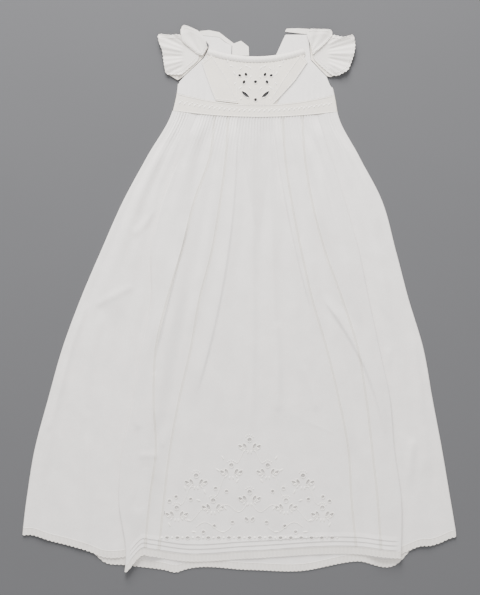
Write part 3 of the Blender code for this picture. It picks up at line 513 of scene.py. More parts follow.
def shell(name, gridX, gridY, place, material, keep=None, paintedShadeAt=None, pattern=None, wall=clothWall):
    # thin closed cloth on a grid of pattern points: an upper and an under face joined round every edge
    rows, cols = gridX.shape
    size = rows * cols
    index = np.arange(size).reshape(rows, cols)
    quads = np.stack([index[:-1, :-1], index[:-1, 1:], index[1:, 1:], index[1:, :-1]], axis=-1)
    quads = quads[keep] if keep is not None else quads.reshape(-1, 4)
    x, y = gridX.ravel(), gridY.ravel()
    a, b, c = quads[0, 0], quads[0, 1], quads[0, 2]
    if (x[b] - x[a]) * (y[c] - y[a]) - (y[b] - y[a]) * (x[c] - x[a]) < 0:
        quads = quads[:, ::-1]
    starts = quads.ravel()
    ends = np.roll(quads, -1, axis=1).ravel()
    edge = ~np.isin(starts * size + ends, ends * size + starts)
    rim = np.stack([ends[edge], starts[edge], starts[edge] + size, ends[edge] + size], axis=1)
    faces = np.concatenate([quads, quads[:, ::-1] + size, rim])
    points = np.concatenate([onCloth(place, x, y, face) for face in reversed(wall)])
    used, faces = np.unique(faces, return_inverse=True)
    faces = faces.reshape(-1, 4)
    flat = np.stack([x, y], axis=1) if pattern is None else pattern.reshape(-1, 2)
    # painted shade at each point, from the function given, else none
    paintedShade = np.tile(np.ones(size) if paintedShadeAt is None else paintedShadeAt(x, y), 2)
    return meshFrom(name, points[used], faces, material, paintedShade[used], np.tile(flat, (2, 1))[used])


def areaOf(gridX, gridY, keep=None):
    # flat area of the kept squares of a pattern grid, in square metres
    dx = gridX[1:, 1:] - gridX[:-1, :-1]
    dy = gridY[1:, 1:] - gridY[:-1, :-1]
    ex = gridX[:-1, 1:] - gridX[1:, :-1]
    ey = gridY[:-1, 1:] - gridY[1:, :-1]
    each = np.abs(dx * ey - dy * ex) / 2
    return float((each[keep] if keep is not None else each).sum()) * 1e-6


leastSheet = 0.0101             # leastSheet = 0.0101 # the narrowest sheet that is worked out, in metres


def corners(shape):
    # the parts of a grid of points that hold each corner of its squares
    rows, cols = shape
    return [(slice(down, rows - 1 + down), slice(across, cols - 1 + across))
            for down in (0, 1) for across in (0, 1)]


def declare(piece, node, gridX, gridY, keep, full=1.0):
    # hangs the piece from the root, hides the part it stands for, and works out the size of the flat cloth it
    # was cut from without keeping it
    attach(piece, "root")
    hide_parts(node)
    if keep is None:
        wide = np.abs(gridX[:, -1] - gridX[:, 0]).max()
        tall = np.abs(gridY[-1] - gridY[0]).max()
    else:
        used = np.zeros(gridX.shape, bool)
        for part in corners(gridX.shape):
            used[part] |= keep
        wide, tall = np.ptp(gridX[used]), np.ptp(gridY[used])
    width = max(float(wide) * mm * full, leastSheet)
    length = max(float(tall) * mm, leastSheet)
    area = areaOf(gridX, gridY, keep) * full
    if area < 0.32 * width * length:    # a curved band is cut as a straight one
        length = max(area / (0.9 * width), leastSheet)
    area = min(area, 0.999 * width * length)


def strip(stops, counts, hemTable, tucked, v):
    # grid of a skirt width: columns between edges that are functions of y, rows that fan to the hem.
    # With tucks, close rows over them follow
    above = np.zeros(len(v))
    if tucked:
        deep = tucks["pitch"] * tucks["count"]
        down = np.linspace(deep + 2.0, 0, tucks["rows"])
        above = np.concatenate([np.full(len(v), deep + 2.5), down])
        v = np.concatenate([v, np.ones(len(down))])
    columns = []
    for stop in stops:
        x = stop(np.zeros(len(v)))
        for _ in range(8):
            x = stop(rowY(x, v, hemTable, above))
        columns.append(x)
    parts = []
    for number, count in enumerate(counts):
        t = np.linspace(0, 1, count + 1)[(1 if number else 0):]
        parts.append(columns[number][:, None] * (1 - t) + columns[number + 1][:, None] * t)
    gridX = np.concatenate(parts, axis=1)
    return gridX, rowY(gridX, v[:, None], hemTable, above[:, None])


def snapped(gridX, gridY, keep, loops):
    # moves the grid points on the rim of what is kept to the nearest point of the outlines
    touched = np.zeros(gridX.shape, int)
    around = np.zeros(gridX.shape, int)
    for part in corners(gridX.shape):
        touched[part] += keep
        around[part] += 1
    rim = np.nonzero((touched > 0) & (touched < 4) & (around == 4) | (touched > 0) & (around < 4))
    at = np.stack([gridX[rim], gridY[rim]], axis=1)
    best = np.full(len(at), 1e9)
    to = at.copy()
    for loop in loops:
        starts = np.asarray(loop, float)
        box = (at > starts.min(axis=0) - 4).all(axis=1) & (at < starts.max(axis=0) + 4).all(axis=1)
        if not box.any():
            continue
        here = at[box]
        along = np.roll(starts, -1, axis=0) - starts
        t = ((here[:, None] - starts) * along).sum(axis=2) / np.maximum((along ** 2).sum(axis=1), 1e-9)
        foot = starts + np.clip(t, 0, 1)[..., None] * along
        apart = np.linalg.norm(here[:, None] - foot, axis=2)
        pick = apart.argmin(axis=1)
        nearest = apart[np.arange(len(here)), pick]
        better = nearest < best[box]
        where = np.nonzero(box)[0][better]
        best[where] = nearest[better]
        to[where] = foot[np.arange(len(here)), pick][better]
    gridX, gridY = gridX.copy(), gridY.copy()
    gridX[rim], gridY[rim] = to[:, 0], to[:, 1]
    return gridX, gridY


def outside(gridX, gridY, holes):
    # which squares of a grid lie clear of every hole
    x = (gridX[:-1, :-1] + gridX[1:, 1:]) / 2
    y = (gridY[:-1, :-1] + gridY[1:, 1:]) / 2
    keep = np.ones(x.shape, bool)
    for hole in holes:
        loop = np.array(hole)
        near = (x > loop[:, 0].min() - 1) & (x < loop[:, 0].max() + 1)
        near &= (y > loop[:, 1].min() - 1) & (y < loop[:, 1].max() + 1)
        within = inside(np.stack([x[near], y[near]], axis=1), loop)
        keep[near] &= ~within
    return keep


def patch(outline, step, holes=()):
    # grid over an outline's box, the squares inside it, and their rim moved onto the outline
    loop = np.array(outline, float)
    low, high = loop.min(axis=0) - step, loop.max(axis=0) + step
    gridX, gridY = np.meshgrid(*(np.arange(low[i], high[i] + step, step) for i in (0, 1)))
    x = (gridX[:-1, :-1] + gridX[1:, 1:]) / 2
    y = (gridY[:-1, :-1] + gridY[1:, 1:]) / 2
    keep = inside(np.stack([x.ravel(), y.ravel()], axis=1), loop).reshape(x.shape)
    keep &= outside(gridX, gridY, holes)
    gridX, gridY = snapped(gridX, gridY, keep, [loop, *holes])
    return gridX, gridY, keep


def nextAround(rings):
    return np.roll(rings, -1, axis=1)


def tubes(paths, radius, sides=6, closed=False):
    # thread along paths: a small ring of points round each point of the path, square to its run
    pointSets, faceSets, first = [], [], 0
    for path in paths:
        path = np.asarray(path, float)
        run = np.roll(path, -1, axis=0) - np.roll(path, 1, axis=0) if closed else np.gradient(path, axis=0)
        run /= np.maximum(np.linalg.norm(run, axis=1, keepdims=True), 1e-9)
        across = np.cross(run, (0, 0, 1.0))
        across /= np.maximum(np.linalg.norm(across, axis=1, keepdims=True), 1e-9)
        up = np.cross(across, run)
        turn = np.arange(sides) * 2 * math.pi / sides
        ring = np.cos(turn)[:, None] * across[:, None] + np.sin(turn)[:, None] * up[:, None]
        count = len(path)
        index = np.arange(count * sides).reshape(count, sides) + first
        nextRing = np.roll(index, -1, axis=0) if closed else index[1:]
        thisRing = index if closed else index[:-1]
        faces = np.stack([thisRing, nextAround(thisRing), nextAround(nextRing), nextRing], axis=-1)
        pointSets.append((path[:, None] + radius * ring).reshape(-1, 3))
        faceSets.append(faces.reshape(-1, 4)[:, ::-1])
        first += count * sides
        if not closed:
            half = sides // 2
            for ends, flip in ((index[0], False), (index[-1], True)):
                for i in range(half - 1):
                    quad = np.array([ends[i], ends[i + 1], ends[sides - 2 - i], ends[sides - 1 - i]])
                    faceSets.append((quad if flip else quad[::-1])[None])
    return np.concatenate(pointSets), np.concatenate(faceSets)


def domes(places, height, surface, rings=3, spokes=10):
    # satin-stitch shapes: ellipses that rise as half a cosine from a flat foot that lies in the cloth
    places = np.asarray(places, float)
    x, y, width, length, lean = places.T
    turn = np.radians(lean)
    angle = np.arange(spokes) * 2 * math.pi / spokes
    share = np.array([*(np.arange(rings, 0, -1) / rings), 0.12])
    a = width[:, None, None] / 2 * np.sin(angle)[None, None] * share[None, :, None]
    b = length[:, None, None] / 2 * np.cos(angle)[None, None] * share[None, :, None]
    px = x[:, None, None] + a * np.cos(turn)[:, None, None] + b * np.sin(turn)[:, None, None]
    py = y[:, None, None] - a * np.sin(turn)[:, None, None] + b * np.cos(turn)[:, None, None]
    pz = surface(px, py) + height * np.cos(share * math.pi / 2)[None, :, None]
    foot = np.stack([px[:, :1], py[:, :1], pz[:, :1] - 0.3], axis=-1)
    shape = np.concatenate([foot, np.stack([px, py, pz], axis=-1)], axis=1)
    levels = shape.shape[1]
    each = levels * spokes
    index = np.arange(each).reshape(levels, spokes)
    side = np.stack([index[:-1], nextAround(index[:-1]), nextAround(index[1:]), index[1:]], axis=-1)
    caps = []
    for i in range(spokes // 2 - 1):
        caps.append([index[-1, i], index[-1, i + 1], index[-1, spokes - 2 - i], index[-1, spokes - 1 - i]])
        caps.append([index[0, spokes - 1 - i], index[0, spokes - 2 - i], index[0, i + 1], index[0, i]])
    faces = np.concatenate([side.reshape(-1, 4), np.array(caps)])[:, ::-1]
    faces = faces[None] + (np.arange(len(places)) * each)[:, None, None]
    return shape.reshape(-1, 3), faces.reshape(-1, 4)


def joined(*shapes):
    points, faces, first = [], [], 0
    for shapePoints, shapeFaces in shapes:
        points.append(shapePoints)
        faces.append(shapeFaces + first)
        first += len(shapePoints)
    return np.concatenate(points), np.concatenate(faces)


def added(name, shape):
    # sewing that stands on the cloth, as a piece of its own
    piece = meshFrom(name, *shape, stitches)
    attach(piece, "root")


def toLinear(hexText):
    values = np.array([int(hexText[i:i + 2], 16) for i in (1, 3, 5)]) / 255
    linear = np.where(values <= 0.04045, values / 12.92, ((values + 0.055) / 1.055) ** 2.4)
    return (*(float(v) for v in linear), 1.0)


def addNode(tree, kind, inputs=None, **settings):
    # one node with its settings; an input that is another node's output is linked, any other is set
    node = tree.nodes.new(kind)
    for key, value in settings.items():
        setattr(node, key, value)
    for key, value in (inputs or {}).items():
        if isinstance(value, bpy.types.NodeSocket):
            tree.links.new(value, node.inputs[key])
        else:
            node.inputs[key].default_value = value
    return node


def clothMaterial(name, light, dark, crumb, weave, dots=None):
    # cotton: a fine uneven colour, thread relief drawn coarser than it is so that it shows, soft sheen.
    # crumb, weave and dots are the steps of slubs, threads and drawn holes in millimetres
    material = bpy.data.materials.new(name)
    material.use_nodes = True
    tree = material.node_tree
    add = partial(addNode, tree)
    shader = tree.nodes["Principled BSDF"]
    spot = add("ShaderNodeTexCoord").outputs["Object"]
    cloud = add("ShaderNodeTexNoise", {"Vector": spot, "Scale": 38.0, "Detail": 3.0})
    slub = add("ShaderNodeTexNoise", {"Vector": spot, "Scale": 1 / (crumb * mm), "Detail": 2.0})
    # the mesh's painted shade darkens the colour: greyer where one layer lies over the floor, darker between
    # the scallops
    paintedShade = add("ShaderNodeAttribute", attribute_name="paintedShade")
    mixed = add("ShaderNodeMath", {0: cloud.outputs["Fac"], 1: slub.outputs["Fac"]}, operation="ADD")
    spread = add("ShaderNodeMapRange", {"Value": mixed.outputs[0], "From Min": 0.6, "From Max": 1.4,
                                        "To Min": 0.82, "To Max": 1.0})
    level = add("ShaderNodeMath", {0: spread.outputs[0], 1: paintedShade.outputs["Fac"]}, operation="MULTIPLY")
    factor = level.outputs[0]
    if dots:
        # painted shade: the drawn holes are darkened spots in the colour, standing in for openings
        flat = add("ShaderNodeUVMap", uv_map="pattern")
        cells = add("ShaderNodeTexVoronoi", {"Vector": flat.outputs["UV"], "Scale": 1 / dots,
                                             "Randomness": 0.15}, voronoi_dimensions="2D")
        holes = add("ShaderNodeMapRange", {"Value": cells.outputs["Distance"], "From Min": 0.16,
                                           "From Max": 0.34, "To Min": 0.45, "To Max": 1.0})
        factor = add("ShaderNodeMath", {0: factor, 1: holes.outputs[0]}, operation="MULTIPLY").outputs[0]
    colour = add("ShaderNodeMix", {0: factor, 6: toLinear(dark), 7: toLinear(light)}, data_type="RGBA")
    tree.links.new(colour.outputs[2], shader.inputs["Base Color"])
    threads = add("ShaderNodeTexWave", {"Vector": spot, "Scale": 1 / (weave * mm * 3.2), "Distortion": 1.5,
                                        "Detail": 1.0}, bands_direction="X")
    rough = add("ShaderNodeMath", {0: threads.outputs["Fac"], 1: slub.outputs["Fac"]}, operation="ADD")
    bump = add("ShaderNodeBump", {"Height": rough.outputs[0], "Strength": 0.35, "Distance": 0.25 * mm})
    tree.links.new(bump.outputs["Normal"], shader.inputs["Normal"])
    for key, value in (("Roughness", 0.85), ("Sheen Weight", 0.15), ("Sheen Roughness", 0.5)):
        shader.inputs[key].default_value = value
    return material


# washed cotton muslin, plain woven: matt, nearly white; the grey where one layer shows the floor is painted
# shade, carried on the mesh points
muslin = clothMaterial("washedMuslin", "#ece7e3", "#8f8c8c", 1.6, 1.7)
# cotton lawn with hand embroidery: the same white, a little yellower with starch
lawn = clothMaterial("embroideredLawn", "#ece4d8", "#8f8679", 1.3, 1.9)
# scalloped whitework edging: close stitches that take a shadow in every hole
edgingCloth = clothMaterial("scallopedEdging", "#eae4dd", "#857f78", 1.2, 1.9)
# ladder insertion: rows of small drawn-thread holes, drawn as darker spots of painted shade rather than cut
ladder = clothMaterial("ladderInsertion", "#e6e0d8", "#77726c", 1.2, 1.9, dots=1.9)
# twisted embroidery cotton, a little glossier than the cloth
stitches = clothMaterial("embroideryCotton", "#f4efe8", "#a09a92", 0.9, 1.2)


def slitShade(x, y):
    # painted shade: greyer down the middle, where the back's opening leaves one layer over the dark floor,
    # painted into the cloth's colour
    left = placketEdge(-1, y)
    right = placketEdge(1, y)
    t = np.minimum(x - left, right - x)
    single = ease((t + 2) / 5) * ease((y - 80) / 30)
    return 0.97 - 0.10 * single


print("skirt")
# Whitework on the skirt, alike on the left and right of its middle: distance across, height
cutwork = {
    "middle": 17.0,
    "fans": ((0, -238), (30, -280), (0, -324), (88, -297), (60, -338), (120, -350)),
    "fanEye": (6.4, 6.4),       # width and height of a fan's round eyelet
    "fanEyeUp": 6,
    "fanLeaf": (4.2, 9.0),
    "fanLeaves": ((8.0, -4.5, 24), (14.5, -6.0, 48)),       # across, up, lean in degrees
    "round": ((38, -317), (56, -312), (97, -330), (121, -326), (132, -333), (28, -368), (58, -374),
              (76, -384)),
    "roundEye": (4.5, 4.5),
    "pair": ((5.0, -363),),
    "pairLeaf": (4.2, 7.0, 35),                             # width, length, lean
    "borderY": -393.5,
    "borderPitch": 17.0,
    "borderCount": 17,
    "borderEye": (5.6, 4.2),
}
ladders = {"width": 4.0, "columns": 5, "rows": 240, "patternShift": 2.85, "thread": 0.4, "threadOut": 0.1}
widthRows = 200
sideFullness = 1.15             # cloth gathered into the width of a side
backSkirt = {
    "step": 4.5,                # of its grid
    "edgeYs": (290, 262, 235, 200, 165, 120, 80, 40, 0, -40, -80, -120, -165, -205, -250, -290, -330, -360),
    "hem": (-352, 350),
    "waist": {-1: -107, 1: 159},
}


def skirtEyelets():
    # outlines of the fans' eyelets and leaves, the small round ones, a pair of leaves and the border row
    holes = []
    for _, x, y in bothSides(cutwork["fans"], cutwork["middle"]):
        holes.append(ellipse(x, y + cutwork["fanEyeUp"], *cutwork["fanEye"], 0, 20))
        for out, up, lean in cutwork["fanLeaves"]:
            for wing in (-1, 1):
                holes.append(ellipse(x + wing * out, y + up, *cutwork["fanLeaf"], wing * lean, 20))
    for _, x, y in bothSides(cutwork["round"], cutwork["middle"]):
        holes.append(ellipse(x, y, *cutwork["roundEye"], 0, 16))
    for side, x, y in bothSides(cutwork["pair"], cutwork["middle"]):
        width, length, lean = cutwork["pairLeaf"]
        holes.append(ellipse(x, y, width, length, side * lean, 16))
    for x in borderXs(cutwork["borderCount"]):
        holes.append(ellipse(x, cutwork["borderY"], *cutwork["borderEye"], 0, 16))
    return holes


def borderXs(count):
    # places of a row across the border, centred on the skirt's middle
    return [cutwork["middle"] + (i - (count - 1) / 2) * cutwork["borderPitch"] for i in range(count)]


def waistRows(count):
    # shares down the skirt, closer together where the gathers are fine
    return np.linspace(0, 1, count) ** 1.08


half = ladders["width"] / 2
beside = half + gap
halfTurn = math.pi * foldRadius
turnDown = edgeRadius * math.pi / 2
frontPlace = laid(frontClothHeight, partial(frontRoll, -1), partial(frontRoll, 1), foldRadius)
skirtHoles = skirtEyelets()

frontRows = np.concatenate([np.linspace(0, 0.74, 120)[:-1], np.linspace(0.74, 1.0, 110)])
gridX, gridY = strip([offsetSeam("left_inner", beside), offsetSeam("right_inner", -beside)], [190], frontHem,
                     True, frontRows)
keep = outside(gridX, gridY, skirtHoles)
rimX, rimY = snapped(gridX, gridY, keep, skirtHoles)
near = np.zeros(gridX.shape, bool)
for hole in skirtHoles:
    middleX, middleY = np.mean(hole, axis=0)
    near |= (np.abs(gridX - middleX) < 7) & (np.abs(gridY - middleY) < 7)
gridX, gridY = np.where(near, rimX, gridX), np.where(near, rimY, gridY)
# the front carries painted shade down the back's opening
piece = shell("skirtFrontCloth", gridX, gridY, frontPlace, muslin, keep, slitShade)
declare(piece, "skirt_front", gridX, gridY, keep)

widths = (
    ("gore_outer_left",
     (partial(frontEnd, -1), lambda y: np.maximum(frontEnd(-1, y), frontRoll(-1, y) - halfTurn),
      partial(frontRoll, -1), offsetSeam("left_outer", -beside)), (8, 10, 30)),
    ("gore_inner_left", (offsetSeam("left_outer", beside), offsetSeam("left_inner", -beside)), (34,)),
    ("gore_inner_right", (offsetSeam("right_inner", beside), offsetSeam("right_outer", -beside)), (34,)),
    ("gore_outer_right",
     (offsetSeam("right_outer", beside), partial(frontRoll, 1),
      lambda y: np.minimum(frontEnd(1, y), frontRoll(1, y) + halfTurn), partial(frontEnd, 1)), (30, 10, 8)),
)
for name, stops, counts in widths:
    gridX, gridY = strip(stops, counts, frontHem, True, waistRows(widthRows))
    # each width carries the same painted shade down the back's opening
    piece = shell(f"{name}_cloth", gridX, gridY, frontPlace, muslin, paintedShadeAt=slitShade)
    declare(piece, f"skirt_{name}", gridX, gridY, None)

ladderPaths = []
for side in ("left", "right"):
    for kind in ("inner", "outer"):
        column = f"{side}_{kind}"
        gridX, gridY = strip([offsetSeam(column, -half), offsetSeam(column, half)], [ladders["columns"]],
                             frontHem, True, waistRows(ladders["rows"]))
        flat = np.stack([gridX - seam(column, gridY) + ladders["patternShift"], gridY], axis=-1)
        piece = shell(f"insertion_{kind}_{side}_cloth", gridX, gridY, frontPlace, ladder, pattern=flat)
        declare(piece, f"skirt_insertion_{kind}_{side}", gridX, gridY, None)
        for edge in (-1, 1):
            y = np.linspace(296, -395, 330)
            x = seam(column, y) + edge * (half + ladders["threadOut"])
            ladderPaths.append(onCloth(frontPlace, x, y, 0.9))

sides = (
    ("left", sideHemLeft, laid(sideClothHeight, left=partial(sideRoll, -1)),
     (lambda y: sideRoll(-1, y) - turnDown, partial(sideRoll, -1), partial(sideEnd, -1)), (5, 110)),
    ("right", sideHemRight, laid(sideClothHeight, right=partial(sideRoll, 1)),
     (partial(sideEnd, 1), partial(sideRoll, 1), lambda y: sideRoll(1, y) + turnDown), (85, 5)),
)
sideHems = {}
for name, table, place, stops, counts in sides:
    gridX, gridY = strip(stops, counts, table, False, waistRows(widthRows))
    piece = shell(f"side_{name}_cloth", gridX, gridY, place, muslin)
    declare(piece, f"skirt_side_{name}", gridX, gridY, None, sideFullness)
    sideHems[name] = (float(gridX[-1].min()), float(gridX[-1].max()), table, place)

edges = {}
tops = {}
for side, name in sideNames.items():
    edges[side] = [(float(seam(f"{name}_edge", y)) - side * backInset, y) for y in backSkirt["edgeYs"]]
    slitX = float(placketEdge(side, placket["top"]))
    ends = (backSkirt["waist"][side], slitX)
    tops[side] = along(waistLow, np.linspace(*(ends if side < 0 else reversed(ends)), 8), gap)
hemLine = along(lambda x: hem(backHem, x) + edging, np.linspace(*backSkirt["hem"], 120), -gap)
foot = [(float(placketEdge(side, placket["foot"])), placket["foot"]) for side in (-1, 1)]
outline = [*tops[-1], *foot, *tops[1], *edges[1], *reversed(hemLine), *reversed(edges[-1])]
gridX, gridY, keep = patch(outline, backSkirt["step"])
flatPlace = laid(flatHeight)
piece = shell("skirtBackCloth", gridX, gridY, flatPlace, muslin, keep, wall=backWall)
declare(piece, "skirt_back", gridX, gridY, keep)

print("edgings")
scallops = {"width": 6.5, "depth": 2.6, "rows": 9, "overlap": 0.1, "rise": 0.2, "thread": 0.42}


def scallopEdge(x):
    # height of a row of scallops: the arch of each rises from the point where two meet
    across = 2 * (x / scallops["width"] % 1.0) - 1
    return scallops["depth"] * (1 - np.sqrt(np.maximum(1 - across ** 2, 0)))


def scallopShade(x, y):
    # painted shade: a little darker between the scallops, in a wave with one dip to each scallop
    return 0.93 + 0.05 * np.cos(x * 2 * math.pi / scallops["width"])


edgeThreads = []


def hemEdging(part, lowX, highX, table, place, count, wall=clothWall):
    # a band below the hem line: from the cloth above it down to the scallops
    x = lowX + (highX - lowX) * np.linspace(0, 1, count)
    down = np.linspace(0, 1, scallops["rows"])[:, None]
    top = hem(table, x) + edging - scallops["overlap"]
    bottom = hem(table, x) + scallopEdge(x) + scallops["rise"]
    gridX = np.repeat(x[None], scallops["rows"], axis=0)
    gridY = top * (1 - down) + bottom * down
    name = f"hemEdging{part.title().replace('_', '')}Cloth"
    # the edging carries painted shade between its scallops
    piece = shell(name, gridX, gridY, place, edgingCloth, paintedShadeAt=scallopShade, wall=wall)
    declare(piece, f"hem_edging_{part}", gridX, gridY, None)
    edgeThreads.append(onCloth(place, gridX[-1], gridY[-1], sum(wall) / 2))
    edgeThreads.append(onCloth(place, gridX[0], gridY[0], wall[1])[::3])


hemEdging("front", float(frontEnd(-1, -412.0)), float(frontEnd(1, -412.0)), frontHem, frontPlace, 620)
low, high, table, place = sideHems["left"]
hemEdging("side_left", low + gap, high, table, place, 260)
low, high, table, place = sideHems["right"]
hemEdging("side_right", low, high - gap, table, place, 180)
hemEdging("back", *backSkirt["hem"], backHem, flatPlace, 880, backWall)
added("hemStitches", tubes(edgeThreads, scallops["thread"], 4))
added("ladderStitches", tubes(ladderPaths, ladders["thread"], 4))

print("waist and bodice")
waistband = {"columns": 200, "rows": 24}
neckPleats = {"fullness": 1.3, "height": 0.45, "run": 1.15, "slant": 0.3}
robingEdge = {"inset": 0.93, "points": 14, "inner": 0.9, "outer": 0.8, "thread": 0.42}
# Seams of the front bodice on the left and on the right: across, height
bodiceSeams = {
    -1: {
        "top": 355.0,
        "armhole": ((-98.5, 358.5), (-90.5, 367), (-73, 383.5), (-59, 397)),
        "yokeOuter": ((-54.5, 402.5), (-36, 360), (-20.5, 324.5)),
        "yokeInner": ((-3.5, 389.5), (-4, 360), (-3, 322.5)),
        "robing": ((-61.5, 389.5), (-47.5, 349), (-38.5, 327.5), (-1.5, 323), (-24.5, 369.5), (-46, 402)),
    },
    1: {
        "top": 349.0,
        "armhole": ((149.5, 352.5), (143.5, 367), (131.5, 379), (117.5, 394)),
        "yokeOuter": ((110, 402.5), (86, 366), (61.5, 324)),
        "yokeInner": ((57.5, 389.5), (58, 360), (56.6, 322.5)),
        "robing": ((112.5, 391), (91.5, 360), (71, 337.5), (57.5, 323.5), (55.5, 334), (79, 371),
                   (101.5, 402.5)),
    },
}
# Eyelets of the bodice insertion: across from its middle, height, width, length, lean
bodiceEyelets = (
    (15.7, 370.0, 4.3, 6.0, 15), (26.0, 368.5, 4.3, 5.0, 70), (19.0, 357.5, 4.4, 6.2, -20),
    (16.5, 337.0, 5.0, 16.0, 48), (0, 358.0, 5.0, 5.0, 0), (0, 328.5, 5.0, 5.0, 0),
)


def bandY(x, share):
    # height in the waistband: the share is 0 at its lower seam and 1 at its upper one
    return waistLow(x) * (1 - share) + (waistHigh(x) - gap) * share


def bandEnd(side, share):
    # where a row of the waistband starts to turn down: the roll line solved on the row itself
    x = -110.0 if side < 0 else 160.0
    for _ in range(6):
        x = float(bodiceRoll(side, bandY(x, share)))
    return x


bodiceRolls = (partial(bodiceRoll, -1), partial(bodiceRoll, 1))
shares = np.linspace(0, 1, waistband["rows"])
rowsX = []
for share in shares:
    low, high = bandEnd(-1, share), bandEnd(1, share)
    middle = low + (high - low) * np.linspace(0, 1, waistband["columns"])
    rowsX.append([low - turnDown, low - turnDown / 2, *middle, high + turnDown / 2, high + turnDown])
gridX = np.array(rowsX)
gridY = bandY(gridX, shares[:, None])
piece = shell("waistbandCloth", gridX, gridY, laid(bandHeight, *bodiceRolls), lawn)
declare(piece, "waistband_front", gridX, gridY, None)


def flatPiece(node, outline, place, material, step=1.6, holes=(), wall=clothWall,
              name=None):
    # a piece of cloth inside an outline, on a grid of that step
    gridX, gridY, keep = patch(outline, step, holes)
    piece = shell(name or f"{node}_cloth", gridX, gridY, place, material, keep, wall=wall)
    declare(piece, node, gridX, gridY, keep)


robingPaths = []
for side, name in sideNames.items():
    seams = bodiceSeams[side]
    yokeOuter, yokeInner, robing, topY = seams["yokeOuter"], seams["yokeInner"], seams["robing"], seams["top"]
    outer = [(float(bodiceRoll(side, topY)) + side * part * turnDown / 2, topY) for part in (0, 1, 2)]
    corner = []
    for part in (2, 1, 0):
        x = float(bodiceRoll(side, 340.0))
        for _ in range(6):
            x = float(bodiceRoll(side, waistHigh(x))) + side * part * turnDown / 2
        corner.append((x, float(waistHigh(x))))
    endX = yokeOuter[-1][0]
    waistLine = along(waistHigh, np.linspace(corner[-1][0], endX + side * gap, 12)[1:-1])
    seamLine = between([*yokeOuter[:-1], (endX, float(waistHigh(endX)))], 2)
    seamLine = [(x + side * gap * 1.4, y) for x, y in seamLine]
    outline = [*outer, *corner, *waistLine, *reversed(seamLine), *reversed(seams["armhole"])]
    flatPiece(f"bodice_{name}", outline, laid(bodiceHeight, *bodiceRolls), muslin)
    neckPoints = along(neckFoot, np.linspace(yokeOuter[0][0], yokeInner[0][0], 6), gap)
    footPoints = along(waistHigh, np.linspace(yokeInner[-1][0], endX, 3))
    outline = [*neckPoints, *yokeInner[1:-1], *footPoints, *reversed(yokeOuter[1:-1])]
    flatPiece(f"bodice_yoke_{name}", outline, laid(bodiceHeight), lawn)
    flatPiece(f"robing_{name}", robing, laid(robingHeight), lawn, 1.4)
    loop = np.array(between([*robing, robing[0]], robingEdge["points"]))[:-1]
    middle = loop.mean(axis=0)
    inner = middle + (loop - middle) * robingEdge["inset"]
    robingPaths.append(raised(inner, 2 * layer + robingEdge["inner"]))
    robingPaths.append(raised(loop, 2 * layer + robingEdge["outer"]))

left = [(x + gap, y) for x, y in bodiceSeams[-1]["yokeInner"]]
right = [(x - gap, y) for x, y in bodiceSeams[1]["yokeInner"]]
neckPoints = along(neckFoot, np.linspace(left[0][0], right[0][0], 6), gap)
footPoints = along(waistHigh, np.linspace(right[-1][0], left[-1][0], 5))
centreHoles = []
for side, x, y, width, length, lean in bothSides(bodiceEyelets, neck["centre"]):
    centreHoles.append(ellipse(x, y, width, length, side * lean, 18))
outline = [*neckPoints, *right[1:-1], *footPoints, *reversed(left[1:-1])]
flatPiece("bodice_center", outline, laid(bodiceHeight), lawn, 1.0, centreHoles,
          name="bodiceCentreCloth")


def drawnHeight(x, y):
    # the casing, with the fine pleats that its drawstring makes
    pleats = 1 + np.cos(x * neckPleats["run"] + y * neckPleats["slant"])
    return neckBandHeight(x, y) + neckPleats["height"] * pleats


t = np.linspace(0, 1, 150)
v = np.linspace(0, 1, 12)[:, None]
topX, lowX = -50 + 155 * t, -54 + 163.5 * t
gridX = topX * (1 - v) + lowX * v
gridY = neckLine(topX) * (1 - v) + neckFoot(lowX) * v
piece = shell("neckBandCloth", gridX, gridY, laid(drawnHeight), edgingCloth)
declare(piece, "neck_band", gridX, gridY, None, neckPleats["fullness"])

# Back bodice seen behind the neck, and the edging along it
backShapes = {
    -1: ((-101 + backInset, 357.5), (-91.3, 366.5), (-73.8, 383.2), (-59.2, 396.6), (-51, 412),
         (-49.5, 418.5), (-56, 427.5), (-65, 434.8), (-33, 431.5), (-24, 424), (-12.5, 418), (-14, 392),
         (-5.5, 352)),
    1: ((150 - backInset, 351.5), (144.3, 366.4), (132.3, 378.4), (118.2, 393.5), (116, 410), (114, 436),
        (76, 436), (60.5, 402), (60, 352)),
}
backEdgings = {
    -1: ((-65, 442), (-50, 443.5), (-33, 440), (-22, 431.5), (-9, 421.5), (3, 426), (15.5, 416), (16, 401.5),
         (-12, 401), (-11.5, 417.5), (-23.7, 424.6), (-32.8, 432), (-65.5, 435.4)),
    1: ((75.5, 441), (78, 446), (96, 446.5), (115, 445.5), (114.3, 436.4)),
}


def backWaves(x, y):
    # soft gathers that run down from the back's neck edge
    return 0.25 * (1 + np.cos(x * 0.55 + y * 0.12))


for side, name in sideNames.items():
    footXs = np.linspace(backShapes[side][0][0], float(placketEdge(side, 321)), 10)
    outline = [*backShapes[side], *reversed(along(waistHigh, footXs))]
    flatPiece(f"back_bodice_{name}", outline, laid(backWaves), muslin, step=2.0, wall=(0.1, 0.45))
    flatPiece(f"back_neck_edging_{name}", backEdgings[side], laid(backWaves), edgingCloth, step=1.3,
              wall=(0.1, 0.5))
    edgeLow, edgeHigh = (float(bodiceEdge(side, y)) - side * backInset for y in (310, 340))
    slitLow, slitHigh = (float(placketEdge(side, y)) for y in (300, 320))
    outline = [*along(waistLow, np.linspace(edgeLow, slitLow, 9)),
               *along(waistHigh, np.linspace(slitHigh, edgeHigh, 9), gap)]
    flatPiece(f"waistband_back_{name}", outline, flatPlace, lawn, step=2.5, wall=backWall)

print("sleeves")
